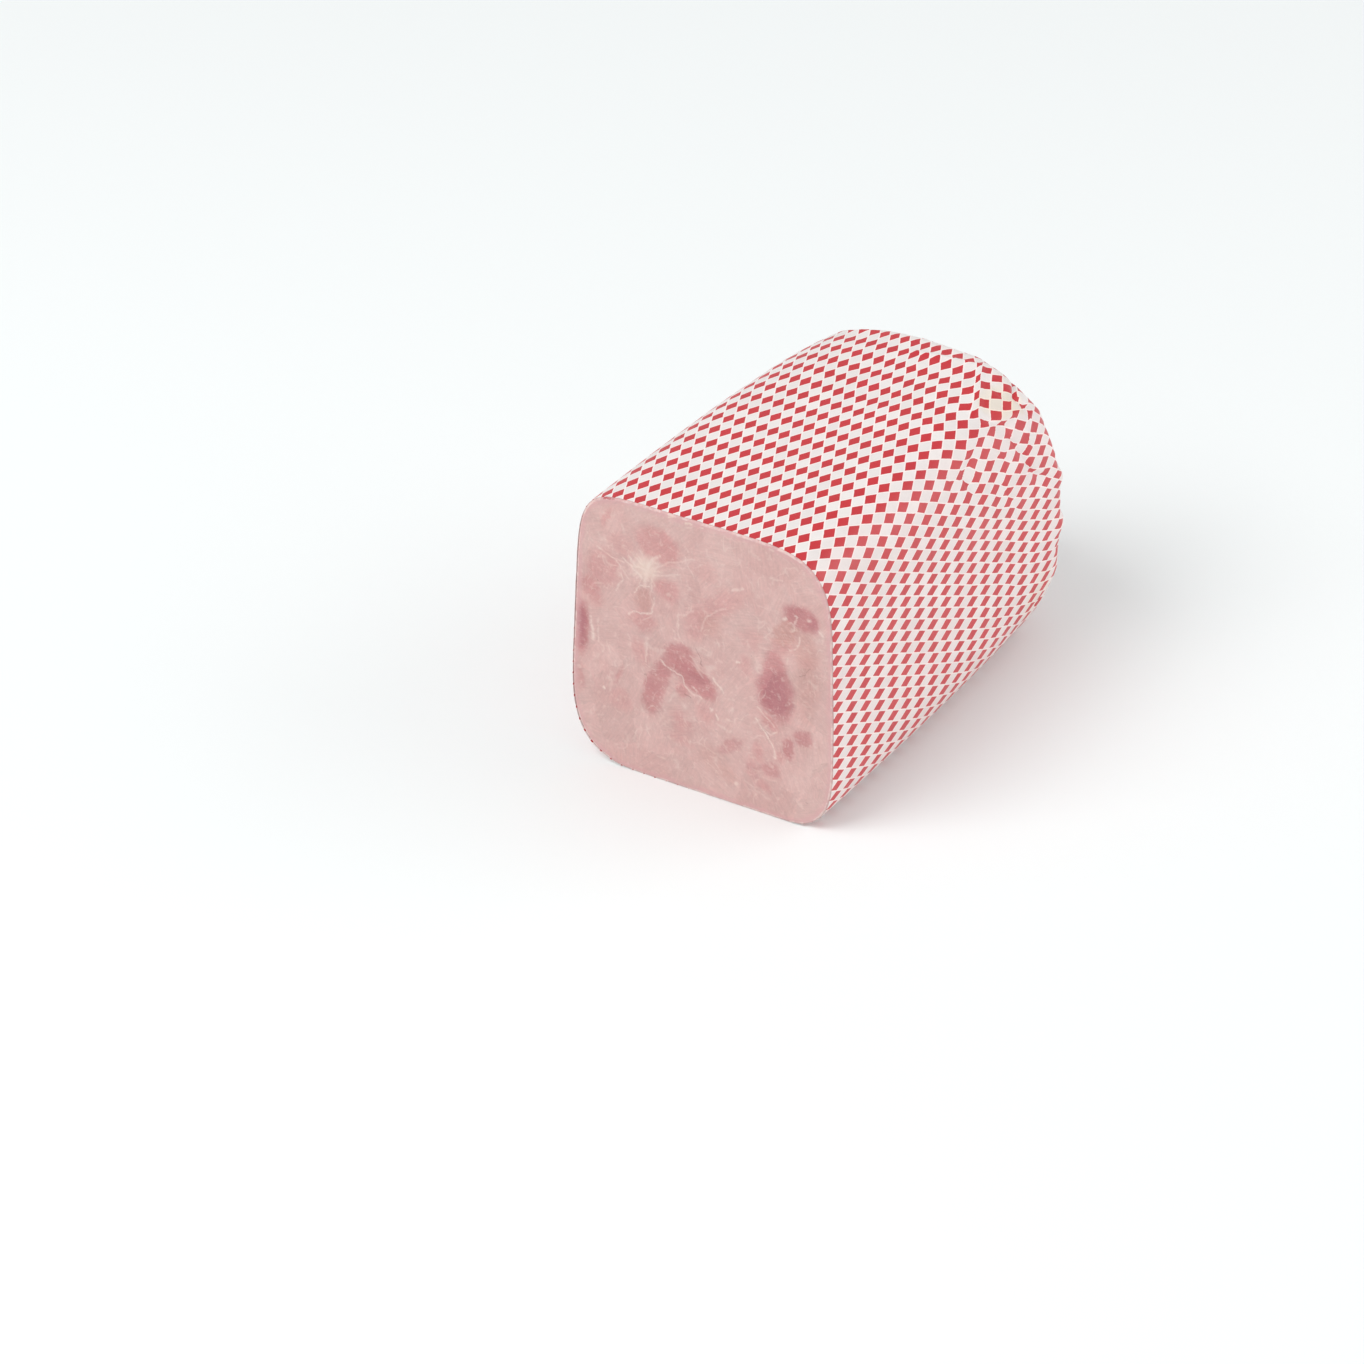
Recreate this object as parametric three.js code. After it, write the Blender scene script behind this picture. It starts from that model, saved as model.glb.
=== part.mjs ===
// A block of cooked ham, cut at the front, in its printed casing. The far end is domed, and
// there the casing is gathered to a neck that an aluminium clip holds shut. What stands out
// past the clip is the tail, a solid of its own that meets the neck inside the clip.
//
// Millimetres. X runs to the right across the cut face, Y back along the loaf and Z up.
// The origin is under the middle of the whole, on the surface that the ham rests on.

import * as THREE from 'three';

// The loaf, measured from its axis, over the casing
const LOAF_LENGTH = 209.5;
const HALF_WIDTH = 64.2;
const TOP_RISE = 67.3;
const BELLY_DROP = 68.3;
const REST_DROP = 66.2;
const REST_BLEND = 1.8;
const LEFT_LEAN = 0.078;

// The foot, a flat strip under the loaf that it rests on. Past its edges the underside is
// lifted a little, so that the ham stands on the foot's corners and not on a rounded edge
const FOOT = { halfWidth: 22, length: 179, columns: 3 };
const FOOT_LIFT = { rise: 0.5, over: 10 };

// How square each corner of the cross-section is, at the cut and at the far end:
// the exponent of a superellipse, where 2 is an ellipse
const CORNERS = {
  topRight: { cut: 5.1, far: 2.0 },
  topLeft: { cut: 7.2, far: 2.2 },
  bottomRight: { cut: 5.3, far: 3.0 },
  bottomLeft: { cut: 4.05, far: 3.0 },
};
const CORNER_FADE = 2.16;
const WIDTH_GAIN = { middle: 0.006, far: -0.01 };
const HEIGHT_GAIN = { middle: 0.002, far: 0.019 };

// The domed end: how far before it each side starts to turn in, and how squarely
const DOME = {
  top: { length: 28.5, power: 1.9 },
  right: { length: 24, power: 2.6 },
  bottom: { length: 30, power: 2.3 },
  left: { length: 51, power: 2.6 },
};
const DOME_ROUNDING = 0.5;
const DOME_DROP = 14;
const DOME_RIM = 0.13;

// The casing, and the pleats that it lies in round the dome. Places round the loaf are
// shares of the way round, clockwise from the top centre
const CASING = 0.6;
const CLEARANCE = 0.4;
const PLEATS = 15;
const PLEAT_RISE = 1.5;
const PLEAT_REACH = { start: 28, full: 8 };
const PLEAT_DRIFT = { waves: 3, size: 0.8, phase: 1 };
const PLEAT_FULL_RADIUS = 22;
const DEEPEST_PLEAT = { place: 0.14, gain: 0.5 };
const UNDERSIDE = { middle: 0.5, flat: 0.12, edge: 0.2, reach: 10 };

// The gathered neck, the tail behind it and the clip between them
const NECK_RADIUS = 4.2;
const CLIP_WIDTH = 3.2;
const CLIP_THICKNESS = 2.2;
const CLIP_EDGE = 0.7;
const CLIP_OPENING = 0.8;
const CLIP_PLAY = 0.5;
const NECK_START = 2.2;
const CLIP_SEAT_END = NECK_START + CLIP_WIDTH + 2 * CLIP_PLAY;
const CLIP_MIDDLE = (NECK_START + CLIP_SEAT_END) / 2;
const TAIL_LENGTH = 21;
const TAIL_RADIUS = 12.5;
const TAIL_FLUTES = 7;
const TAIL_FLUTE_DEPTH = 0.16;
const TAIL_SPREAD = 0.8;
const TAIL_STATIONS = [0.12, 0.4, 0.75, 1];
const TAIL_MOUTH = { along: 0.94, wide: 0.7 };
const TAIL_THROAT = { along: 0.7, wide: 0.3 };
const TAIL_BOTTOM = 0.6;
const NECK_FILLET = [{ along: 0.2, wide: 1.6 }, { along: 0.7, wide: 1.1 }];

// How finely the solids are faceted
const COLUMNS = 64;
const BODY_ROWS = 11;
const DOME_ROWS = 15;
const SECTION_STEPS = 720;
const CLIP_BENDS = 24;
const CLIP_STEPS = 36;

const FULL_TURN = 2 * Math.PI;
const TOP = 0.25;

/** How far a side has turned in at y: 1 along the body, 0 at the end of the dome. */
function domeShrink(y, { length, power }) {
  const turned = THREE.MathUtils.clamp((y - (LOAF_LENGTH - length)) / length, 0, 1);
  return (1 - turned ** power) ** (1 / power);
}

/** A swell that is nothing at both ends, and a change that grows towards the far end. */
function gain(y, far, { middle, far: atEnd }) {
  const along = Math.min(y / LOAF_LENGTH, 1);
  return 1 + middle * 4 * along * (1 - along) + atEnd * far * far;
}

/** A height over the flat underside: level where it would be well below, and blended near it. */
function restedHeight(z) {
  const above = THREE.MathUtils.clamp(0.5 + 0.5 * (z + REST_DROP) / REST_BLEND, 0, 1);
  return THREE.MathUtils.lerp(-REST_DROP, z, above) + REST_BLEND * above * (1 - above);
}

/** A height at a place on the underside, lifted if the place is past the foot's edges. */
function liftedHeight(x, y, z) {
  const past = Math.max(Math.abs(x) - FOOT.halfWidth, y - FOOT.length);
  const lift = FOOT_LIFT.rise * THREE.MathUtils.smoothstep(past, 0, FOOT_LIFT.over);
  return Math.max(z, lift - REST_DROP);
}

/** The point of the cross-section at y that lies at a given angle round the axis. */
function sectionPoint(angle, y) {
  const across = Math.cos(angle);
  const up = Math.sin(angle);
  const side = across >= 0 ? 'Right' : 'Left';
  const level = up >= 0 ? 'top' : 'bottom';
  const shrinks = Object.values(DOME).map((each) => domeShrink(y, each));
  const turnedIn = 1 - Math.min(...shrinks);
  const far = Math.min(y / LOAF_LENGTH, 1) ** CORNER_FADE;

  const corner = CORNERS[level + side];
  const squareness = THREE.MathUtils.lerp(corner.cut, corner.far, far) - 2;
  const exponent = 2 / (2 + squareness * (1 - DOME_ROUNDING * turnedIn));
  const width = HALF_WIDTH * domeShrink(y, DOME[side.toLowerCase()]) * gain(y, far, WIDTH_GAIN);
  const height = up >= 0
    ? TOP_RISE * domeShrink(y, DOME.top) * gain(y, far, HEIGHT_GAIN)
    : BELLY_DROP * domeShrink(y, DOME.bottom);

  let x = Math.sign(across) * Math.abs(across) ** exponent * width;
  const z = Math.sign(up) * Math.abs(up) ** exponent * height;
  if (x < 0) x += LEFT_LEAN * Math.max(z, -REST_DROP) * (-x / HALF_WIDTH);
  return new THREE.Vector3(x, y, liftedHeight(x, y, restedHeight(z - DOME_DROP * turnedIn)));
}

/** Points at equal steps round the cross-section at y, clockwise from the top centre. */
function sectionRow(y) {
  const outline = [];
  for (let step = 0; step <= SECTION_STEPS; step += 1) {
    outline.push(sectionPoint(FULL_TURN * (TOP - step / SECTION_STEPS), y));
  }
  const reach = [0];
  for (let step = 1; step <= SECTION_STEPS; step += 1) {
    reach.push(reach[step - 1] + outline[step].distanceTo(outline[step - 1]));
  }
  const row = [];
  let step = 1;
  for (let column = 0; column < COLUMNS; column += 1) {
    const wanted = reach[SECTION_STEPS] * column / COLUMNS;
    while (reach[step] < wanted) step += 1;
    const share = (wanted - reach[step - 1]) / (reach[step] - reach[step - 1]);
    row.push(outline[step - 1].clone().lerp(outline[step], share));
  }
  return y > FOOT.length ? row : withFoot(row, y);
}

/** The row with its lowest points laid out evenly across the foot. */
function withFoot(row, y) {
  return row.map((point, column) => {
    const aside = (COLUMNS / 2 - column) / FOOT.columns;
    return Math.abs(aside) > 1
      ? point
      : new THREE.Vector3(aside * FOOT.halfWidth, y, -REST_DROP);
  });
}

/** Where the rows of the loaf lie along Y: even on the body, then evenly round the dome. */
function rowPlaces() {
  const { length, power } = DOME.left;
  const places = [];
  for (let row = 0; row < BODY_ROWS; row += 1) {
    places.push((LOAF_LENGTH - length) * row / BODY_ROWS);
  }
  const last = Math.acos(DOME_RIM ** (power / 2));
  for (let row = 0; row <= DOME_ROWS; row += 1) {
    const turned = Math.sin(last * row / DOME_ROWS) ** (2 / power);
    places.push(LOAF_LENGTH - length * (1 - turned));
  }
  return places;
}

function middleOf(row) {
  return row.reduce((sum, point) => sum.add(point), new THREE.Vector3()).divideScalar(row.length);
}

/** The outward direction at each point of the loaf's rows. */
function outwardDirections(rows) {
  return rows.map((row, i) => row.map((point, j) => {
    const ahead = rows[Math.min(i + 1, rows.length - 1)][j];
    const behind = rows[Math.max(i - 1, 0)][j];
    const next = row[(j + 1) % COLUMNS];
    const last = row[(j + COLUMNS - 1) % COLUMNS];
    const along = ahead.clone().sub(behind);
    const round = next.clone().sub(last);
    return round.cross(along).normalize();
  }));
}

/** The rows moved inwards by a depth, with the first row kept in the plane of the cut. */
function insetRows(rows, outward, depth) {
  return rows.map((row, i) => row.map((point, j) => {
    const moved = point.clone().addScaledVector(outward[i][j], -depth);
    if (i === 0) moved.y = 0;
    return moved;
  }));
}

/** How much of the pleats is left at a place: none on the flat that the ham rests on. */
function pleatsLeft(share, y) {
  const fromMiddle = Math.abs(share - UNDERSIDE.middle);
  const beside = THREE.MathUtils.smoothstep(fromMiddle, UNDERSIDE.flat, UNDERSIDE.edge);
  const beyond = THREE.MathUtils.smoothstep(y, LOAF_LENGTH - UNDERSIDE.reach, LOAF_LENGTH);
  return Math.max(beside, beyond);
}

/** How far the pleats stand out at a share of the way round, on a row of this radius. */
function pleatRise(share, y, radius) {
  const { start, full } = PLEAT_REACH;
  const grown = THREE.MathUtils.smoothstep(y, LOAF_LENGTH - start, LOAF_LENGTH - full);
  const { waves, size, phase } = PLEAT_DRIFT;
  const drift = size * Math.sin(FULL_TURN * waves * share + phase);
  const ridge = Math.max(0, Math.cos(FULL_TURN * PLEATS * share + drift)) ** 2;
  const depth = 1 + DEEPEST_PLEAT.gain * Math.cos(FULL_TURN * (share - DEEPEST_PLEAT.place));
  const gathered = Math.min(1, radius / PLEAT_FULL_RADIUS);
  return PLEAT_RISE * grown * ridge * depth * gathered * pleatsLeft(share, y);
}

/** The rows of the casing's outer side, with the pleats standing out of them. */
function pleatedRows(rows, outward) {
  return rows.map((row, i) => {
    const middle = middleOf(row);
    return row.map((point, j) => {
      const rise = pleatRise(j / COLUMNS, point.y, point.distanceTo(middle));
      return point.clone().addScaledVector(outward[i][j], rise);
    });
  });
}

/** A round row about the neck's axis, fluted where the gathered casing spreads. */
function neckRow(centre, past, radius, flutes) {
  const row = [];
  for (let column = 0; column < COLUMNS; column += 1) {
    const share = column / COLUMNS;
    const angle = FULL_TURN * (TOP - share);
    const fluted = radius * (1 + flutes * Math.cos(FULL_TURN * TAIL_FLUTES * share));
    row.push(new THREE.Vector3(
      centre.x + fluted * Math.cos(angle),
      LOAF_LENGTH + past,
      centre.z + fluted * Math.sin(angle),
    ));
  }
  return row;
}

/** The rows from the dome along the neck, as far as the middle of the clip. */
function neckRows(centre) {
  const fillet = NECK_FILLET.map(({ along, wide }) => (
    neckRow(centre, NECK_START * along, NECK_RADIUS * wide, 0)));
  const seat = [NECK_START, CLIP_MIDDLE - CLEARANCE / 2];
  return [...fillet, ...seat.map((past) => neckRow(centre, past, NECK_RADIUS, 0))];
}

/** The rows from the middle of the clip out to the tail's rim, and back into its mouth. */
function tailRows(centre) {
  const seat = [CLIP_MIDDLE + CLEARANCE / 2, CLIP_SEAT_END];
  const flare = TAIL_STATIONS.map((share) => {
    const past = THREE.MathUtils.lerp(CLIP_SEAT_END, TAIL_LENGTH, share);
    const radius = THREE.MathUtils.lerp(NECK_RADIUS, TAIL_RADIUS, share ** TAIL_SPREAD);
    return neckRow(centre, past, radius, TAIL_FLUTE_DEPTH * share);
  });
  const mouth = [TAIL_MOUTH, TAIL_THROAT].map(({ along, wide }) => (
    neckRow(centre, TAIL_LENGTH * along, TAIL_RADIUS * wide, TAIL_FLUTE_DEPTH * along)));
  return [...seat.map((past) => neckRow(centre, past, NECK_RADIUS, 0)), ...flare, ...mouth];
}

/** A closed body of rows of points, drawn to a point before the first and after the last. */
function closedBody(rows, firstPoint, lastPoint) {
  const points = [firstPoint, ...rows.flat(), lastPoint];
  const at = (row, column) => 1 + row * COLUMNS + (column % COLUMNS);
  const last = points.length - 1;
  const triangles = [];
  for (let column = 0; column < COLUMNS; column += 1) {
    triangles.push(0, at(0, column + 1), at(0, column));
    triangles.push(last, at(rows.length - 1, column), at(rows.length - 1, column + 1));
    for (let row = 0; row + 1 < rows.length; row += 1) {
      triangles.push(at(row, column), at(row + 1, column + 1), at(row + 1, column));
      triangles.push(at(row, column), at(row, column + 1), at(row + 1, column + 1));
    }
  }
  const geometry = new THREE.BufferGeometry();
  const places = points.flatMap((point) => point.toArray());
  geometry.setAttribute('position', new THREE.Float32BufferAttribute(places, 3));
  geometry.setIndex(triangles);
  geometry.computeVertexNormals();
  return geometry;
}

/** The pressed meat, flat where it is cut. */
function meatGeometry(rows, outward) {
  const meatRows = insetRows(rows, outward, CASING + CLEARANCE);
  const end = middleOf(meatRows[meatRows.length - 1]);
  end.y = LOAF_LENGTH - CASING - CLEARANCE;
  return closedBody(meatRows, new THREE.Vector3(0, 0, 0), end);
}

/** A point on the neck's axis, this far past the end of the dome. */
function onNeckAxis(neck, past) {
  return new THREE.Vector3(neck.x, LOAF_LENGTH + past, neck.z);
}

/** The casing: a skin open at the cut, and solid where it is gathered into the neck. */
function casingGeometry(rows, outward, neck) {
  const inner = insetRows(rows, outward, CASING);
  const innerEnd = middleOf(inner[inner.length - 1]);
  innerEnd.y = LOAF_LENGTH - CASING;
  const outer = [...pleatedRows(rows, outward), ...neckRows(neck)];
  const neckEnd = onNeckAxis(neck, CLIP_MIDDLE - CLEARANCE / 2);
  return closedBody([...inner.reverse(), ...outer], innerEnd, neckEnd);
}

/** The tail: the gathered casing spreading out again behind the clip. */
function tailGeometry(neck) {
  const start = onNeckAxis(neck, CLIP_MIDDLE + CLEARANCE / 2);
  return closedBody(tailRows(neck), start, onNeckAxis(neck, TAIL_LENGTH * TAIL_BOTTOM));
}

/** The clip: flat wire bent once round the neck, its ends meeting underneath. */
function clipGeometry(neck) {
  const radius = NECK_RADIUS + CLEARANCE + CLIP_THICKNESS / 2;
  const opening = CLIP_OPENING / radius / FULL_TURN;
  const points = [];
  for (let bend = 0; bend <= CLIP_BENDS; bend += 1) {
    const share = THREE.MathUtils.lerp(opening / 2, 1 - opening / 2, bend / CLIP_BENDS);
    const angle = FULL_TURN * (share - TOP);
    points.push(new THREE.Vector3(radius * Math.cos(angle), 0, radius * Math.sin(angle)));
  }
  const halfWide = CLIP_WIDTH / 2;
  const halfThick = CLIP_THICKNESS / 2;
  const flatWide = halfWide - CLIP_EDGE;
  const flatThick = halfThick - CLIP_EDGE;
  const section = new THREE.Shape();
  section.moveTo(-flatWide, -halfThick);
  section.lineTo(flatWide, -halfThick);
  section.quadraticCurveTo(halfWide, -halfThick, halfWide, -flatThick);
  section.lineTo(halfWide, flatThick);
  section.quadraticCurveTo(halfWide, halfThick, flatWide, halfThick);
  section.lineTo(-flatWide, halfThick);
  section.quadraticCurveTo(-halfWide, halfThick, -halfWide, flatThick);
  section.lineTo(-halfWide, -flatThick);
  section.quadraticCurveTo(-halfWide, -halfThick, -flatWide, -halfThick);
  const geometry = new THREE.ExtrudeGeometry(section, {
    steps: CLIP_STEPS,
    curveSegments: 2,
    extrudePath: new THREE.CatmullRomCurve3(points),
  });
  geometry.translate(neck.x, LOAF_LENGTH + CLIP_MIDDLE, neck.z);
  return geometry;
}

const rows = rowPlaces().map(sectionRow);
const outward = outwardDirections(rows);
const neck = middleOf(rows[rows.length - 1]);
const printedCasing = new THREE.MeshStandardMaterial({
  color: 0xe6a9aa,
  roughness: 0.35,
  metalness: 0,
});

const pieces = [
  {
    name: 'meat',
    geometry: meatGeometry(rows, outward),
    material: new THREE.MeshStandardMaterial({ color: 0xd7b2ac, roughness: 0.45, metalness: 0 }),
  },
  {
    name: 'casing',
    geometry: casingGeometry(rows, outward, neck),
    material: printedCasing,
  },
  {
    name: 'tail',
    geometry: tailGeometry(neck),
    material: printedCasing.clone(),
  },
  {
    name: 'clip',
    geometry: clipGeometry(neck),
    material: new THREE.MeshStandardMaterial({ color: 0xb9bcc0, roughness: 0.3, metalness: 1 }),
  },
];

// The origin goes under the middle of the whole
const extent = new THREE.Box3();
pieces.forEach(({ geometry }) => {
  geometry.computeBoundingBox();
  extent.union(geometry.boundingBox);
});
const middle = extent.getCenter(new THREE.Vector3());

const ham = new THREE.Group();
ham.name = 'cooked_ham';
ham.position.set(-middle.x, -middle.y, -extent.min.z);
pieces.forEach(({ name, geometry, material }) => {
  const mesh = new THREE.Mesh(geometry, material);
  mesh.name = name;
  ham.add(mesh);
});

export default ham;
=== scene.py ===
"""A block of cooked ham in its checked casing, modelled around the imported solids.

The loaf's form comes from the same named sizes as its solids. On it stand the pressed meat
with its marbled cut, the printed film with its folds and pleats, the gathered tail of the
film and the crimped clip. Lengths are in metres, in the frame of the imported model.
"""

import logging
import math
from dataclasses import dataclass
from enum import Enum
from typing import Callable, Iterable, Sequence

import bpy
import numpy as np
from mathutils import Matrix, Vector, noise


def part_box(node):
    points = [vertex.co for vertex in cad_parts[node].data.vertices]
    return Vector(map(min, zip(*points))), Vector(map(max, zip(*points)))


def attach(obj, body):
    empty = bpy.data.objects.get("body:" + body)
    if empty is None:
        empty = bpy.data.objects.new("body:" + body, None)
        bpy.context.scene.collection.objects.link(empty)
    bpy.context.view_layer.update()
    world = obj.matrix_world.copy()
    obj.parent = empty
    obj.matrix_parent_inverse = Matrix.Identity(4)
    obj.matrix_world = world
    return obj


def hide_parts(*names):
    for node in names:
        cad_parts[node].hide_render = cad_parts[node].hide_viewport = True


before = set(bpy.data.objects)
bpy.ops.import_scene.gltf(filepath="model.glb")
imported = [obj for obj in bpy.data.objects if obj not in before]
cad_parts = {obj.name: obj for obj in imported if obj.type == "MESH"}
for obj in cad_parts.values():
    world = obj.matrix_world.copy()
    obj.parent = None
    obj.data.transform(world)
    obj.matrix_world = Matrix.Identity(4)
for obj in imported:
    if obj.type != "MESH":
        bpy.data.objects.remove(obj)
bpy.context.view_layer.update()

MM = 0.001
IMAGE_SIDE = 1364
SENSOR_WIDTH = 36.0
LOG = logging.getLogger("cooked_ham")

Array = np.ndarray
Pair = tuple[float, float]
Triple = tuple[float, float, float]
Colour = Triple
Piece = bpy.types.Object
Node = bpy.types.Node
NodeTree = bpy.types.NodeTree
Material = bpy.types.Material
Socket = bpy.types.NodeSocket
Feeds = dict[str | int, object]


class Slot(Enum):
    """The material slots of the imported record."""

    MEAT = "cooked_meat"
    FILM = "printed_casing"
    CLIP = "clip_metal"


# Numbers


def smoothstep(value: Array, low: float, high: float) -> Array:
    """An even rise from 0 at low to 1 at high, with no corner at either end."""
    share = np.clip((np.asarray(value, float) - low) / (high - low), 0.0, 1.0)
    return share * share * (3 - 2 * share)


# The loaf's form


@dataclass(frozen=True)
class Corner:
    """How square a corner of the section is, at the cut and at the far end."""

    cut: float
    far: float


@dataclass(frozen=True)
class DomeSide:
    """How far before the far end a side starts to turn in, and how squarely."""

    length: float
    power: float


@dataclass(frozen=True)
class LoafForm:
    """The loaf over its casing, about its axis: X across, Y from the cut, Z up."""

    length: float = 209.5 * MM
    half_width: float = 64.2 * MM
    top_rise: float = 67.3 * MM
    belly_drop: float = 68.3 * MM
    rest_drop: float = 66.2 * MM
    rest_blend: float = 1.8 * MM
    left_lean: float = 0.078
    top_right: Corner = Corner(5.1, 2.0)
    top_left: Corner = Corner(7.2, 2.2)
    bottom_right: Corner = Corner(5.3, 3.0)
    bottom_left: Corner = Corner(4.05, 3.0)
    corner_fade: float = 2.16
    width_gain: Pair = (0.006, -0.01)
    height_gain: Pair = (0.002, 0.019)
    dome_top: DomeSide = DomeSide(28.5 * MM, 1.9)
    dome_right: DomeSide = DomeSide(24 * MM, 2.6)
    dome_bottom: DomeSide = DomeSide(30 * MM, 2.3)
    dome_left: DomeSide = DomeSide(51 * MM, 2.6)
    dome_rounding: float = 0.5
    dome_drop: float = 14 * MM
    dome_rim: float = 0.13
    section_steps: int = 1440

    def shrink(self, y: float, side: DomeSide) -> float:
        """How far a side has turned in at y: 1 along the body, 0 at the dome's end."""
        turned = min(max((y - (self.length - side.length)) / side.length, 0.0), 1.0)
        return (1 - turned**side.power) ** (1 / side.power)

    def gain(self, y: float, far: float, swell: Pair) -> float:
        """The change of a width or a height along the loaf."""
        along = min(y / self.length, 1.0)
        return 1 + swell[0] * 4 * along * (1 - along) + swell[1] * far * far

    def rested(self, height: Array) -> Array:
        """A height over the flat underside, blended where it comes near to it.

        Args:
            height: Heights about the loaf's axis.

        Returns:
            The heights, none of them below the underside.
        """
        above = np.clip(0.5 + 0.5 * (height + self.rest_drop) / self.rest_blend, 0, 1)
        blend = self.rest_blend * above * (1 - above)
        return -self.rest_drop + (height + self.rest_drop) * above + blend

    def outline(self, y: float) -> Array:
        """The section at y, clockwise from the top centre and back to it.

        Args:
            y: How far behind the cut it lies.

        Returns:
            Points by rows, evenly turned and not evenly spaced.
        """
        turn = 2 * math.pi * (0.25 - np.linspace(0, 1, self.section_steps + 1))
        across, up = np.cos(turn), np.sin(turn)
        sides = (self.dome_top, self.dome_right, self.dome_bottom, self.dome_left)
        top, right, bottom, left = (self.shrink(y, side) for side in sides)
        turned_in = 1 - min(top, right, bottom, left)
        far = min(y / self.length, 1.0) ** self.corner_fade

        def squareness(corner: Corner) -> float:
            """The power that draws a corner at this place."""
            value = corner.cut + (corner.far - corner.cut) * far - 2
            return 2 / (2 + value * (1 - self.dome_rounding * turned_in))

        exponent = np.where(
            up >= 0,
            np.where(across >= 0, squareness(self.top_right), squareness(self.top_left)),
            np.where(across >= 0, squareness(self.bottom_right), squareness(self.bottom_left)),
        )
        width = self.half_width * self.gain(y, far, self.width_gain)
        height = self.top_rise * self.gain(y, far, self.height_gain)
        x = np.sign(across) * np.abs(across) ** exponent * width
        x *= np.where(across >= 0, right, left)
        z = np.sign(up) * np.abs(up) ** exponent
        z *= np.where(up >= 0, height * top, self.belly_drop * bottom)
        leaned = self.left_lean * np.maximum(z, -self.rest_drop) * (-x / self.half_width)
        x = np.where(x < 0, x + leaned, x)
        z = self.rested(z - self.dome_drop * turned_in)
        return np.stack([x, np.full_like(x, y), z], 1)

    def row(self, y: float, shares: Array) -> Array:
        """Points of the section at y.

        Args:
            y: How far behind the cut it lies.
            shares: Shares of the way round from the top centre.

        Returns:
            The points by rows.
        """
        outline = self.outline(y)
        steps = np.linalg.norm(np.diff(outline, axis=0), axis=1)
        reach = np.concatenate([[0.0], np.cumsum(steps)])
        wanted = np.mod(shares, 1.0) * reach[-1]
        return np.stack([np.interp(wanted, reach, outline[:, k]) for k in range(3)], 1)

    @property
    def dome_start(self) -> float:
        """Where the first side starts to turn in."""
        return self.length - self.dome_left.length

    def inner_places(self, body_rows: int, dome_rows: int) -> list[float]:
        """Where the rows of an inner side lie, past the cut."""
        body = np.linspace(0, self.dome_start, body_rows + 1)[1:-1]
        return [*body, *self.dome_places(dome_rows)]

    def dome_places(self, rows: int) -> Array:
        """Where rows lie so that they are even round the dome.

        Args:
            rows: How many steps there are between them.

        Returns:
            How far behind the cut each row lies.
        """
        side = self.dome_left
        last = math.acos(self.dome_rim ** (side.power / 2))
        turned = np.sin(last * np.arange(rows + 1) / rows) ** (2 / side.power)
        return self.length - side.length * (1 - turned)


def reach_of(points: Array) -> Array:
    """How far each point of a grid lies from its first row, along its column."""
    steps = np.linalg.norm(np.diff(points, axis=0), axis=2)
    return np.concatenate([np.zeros((1, points.shape[1])), np.cumsum(steps, axis=0)])


@dataclass
class Skin:
    """The loaf's surface as rows of points, with what lies outwards of each."""

    points: Array
    outward: Array
    reach: Array
    shares: Array

    @classmethod
    def of(cls, form: LoafForm, places: Sequence[float], shares: Array) -> "Skin":
        """The surface at these places along the loaf and shares of the way round.

        Args:
            form: The loaf's form.
            places: How far behind the cut each row lies.
            shares: Where each column lies round the loaf, clockwise from the top.

        Returns:
            The surface, with each point's distance from the cut along the film.
        """
        points = np.stack([form.row(y, shares) for y in places])
        nudge = 0.25 / len(shares)
        ahead = np.stack([form.row(y, shares + nudge) for y in places])
        behind = np.stack([form.row(y, shares - nudge) for y in places])
        along = np.gradient(points, axis=0)
        outward = np.cross(ahead - behind, along)
        outward /= np.linalg.norm(outward, axis=2, keepdims=True)
        return cls(points, outward, reach_of(points), shares)

    def inset(self, depths: Sequence[float]) -> Array:
        """The points moved inwards, those of the first row along its section.

        Args:
            depths: How far each row moves.

        Returns:
            The points.
        """
        moved = self.points - self.outward * np.asarray(depths)[:, None, None]
        moved[0, :, 1] = self.points[0, :, 1]
        return moved


@dataclass(frozen=True)
class Layers:
    """How deep the film's back and the meat lie under the film's outside."""

    film: float = 0.12 * MM
    behind_edge: float = 0.22 * MM
    under_folds: float = 1.75 * MM
    clearance: float = 0.05 * MM
    slack: float = 0.15 * MM
    edge_reach: float = 9 * MM
    folds_from: float = 60 * MM
    folds_full: float = 104 * MM

    def back(self, y: float) -> float:
        """The depth of the film's back.

        Args:
            y: How far behind the cut it is wanted.

        Returns:
            The depth there.
        """
        deeper = self.behind_edge * float(smoothstep(y, 0, self.edge_reach))
        folded = self.under_folds * float(smoothstep(y, self.folds_from, self.folds_full))
        return self.film + deeper + folded

    def meat(self, y: float) -> float:
        """The depth of the meat at y."""
        slack = self.slack * float(smoothstep(y, 0, self.edge_reach))
        return self.back(y) + self.clearance + slack


@dataclass(frozen=True)
class Placement:
    """Where the loaf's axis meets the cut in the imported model's frame."""

    x: float
    y: float
    z: float

    @classmethod
    def from_solids(cls, form: LoafForm) -> "Placement":
        """Finds the loaf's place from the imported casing's box.

        Args:
            form: The loaf's form.

        Returns:
            The place.
        """
        low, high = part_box("casing")
        middle = form.outline(form.length / 2)
        return cls(high.x - float(middle[:, 0].max()), low.y, low.z + form.rest_drop)

    def put(self, points: Array) -> Array:
        """Points about the loaf's axis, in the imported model's frame."""
        return points + np.array([self.x, self.y, self.z])


# The print, and the folds of the film


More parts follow.
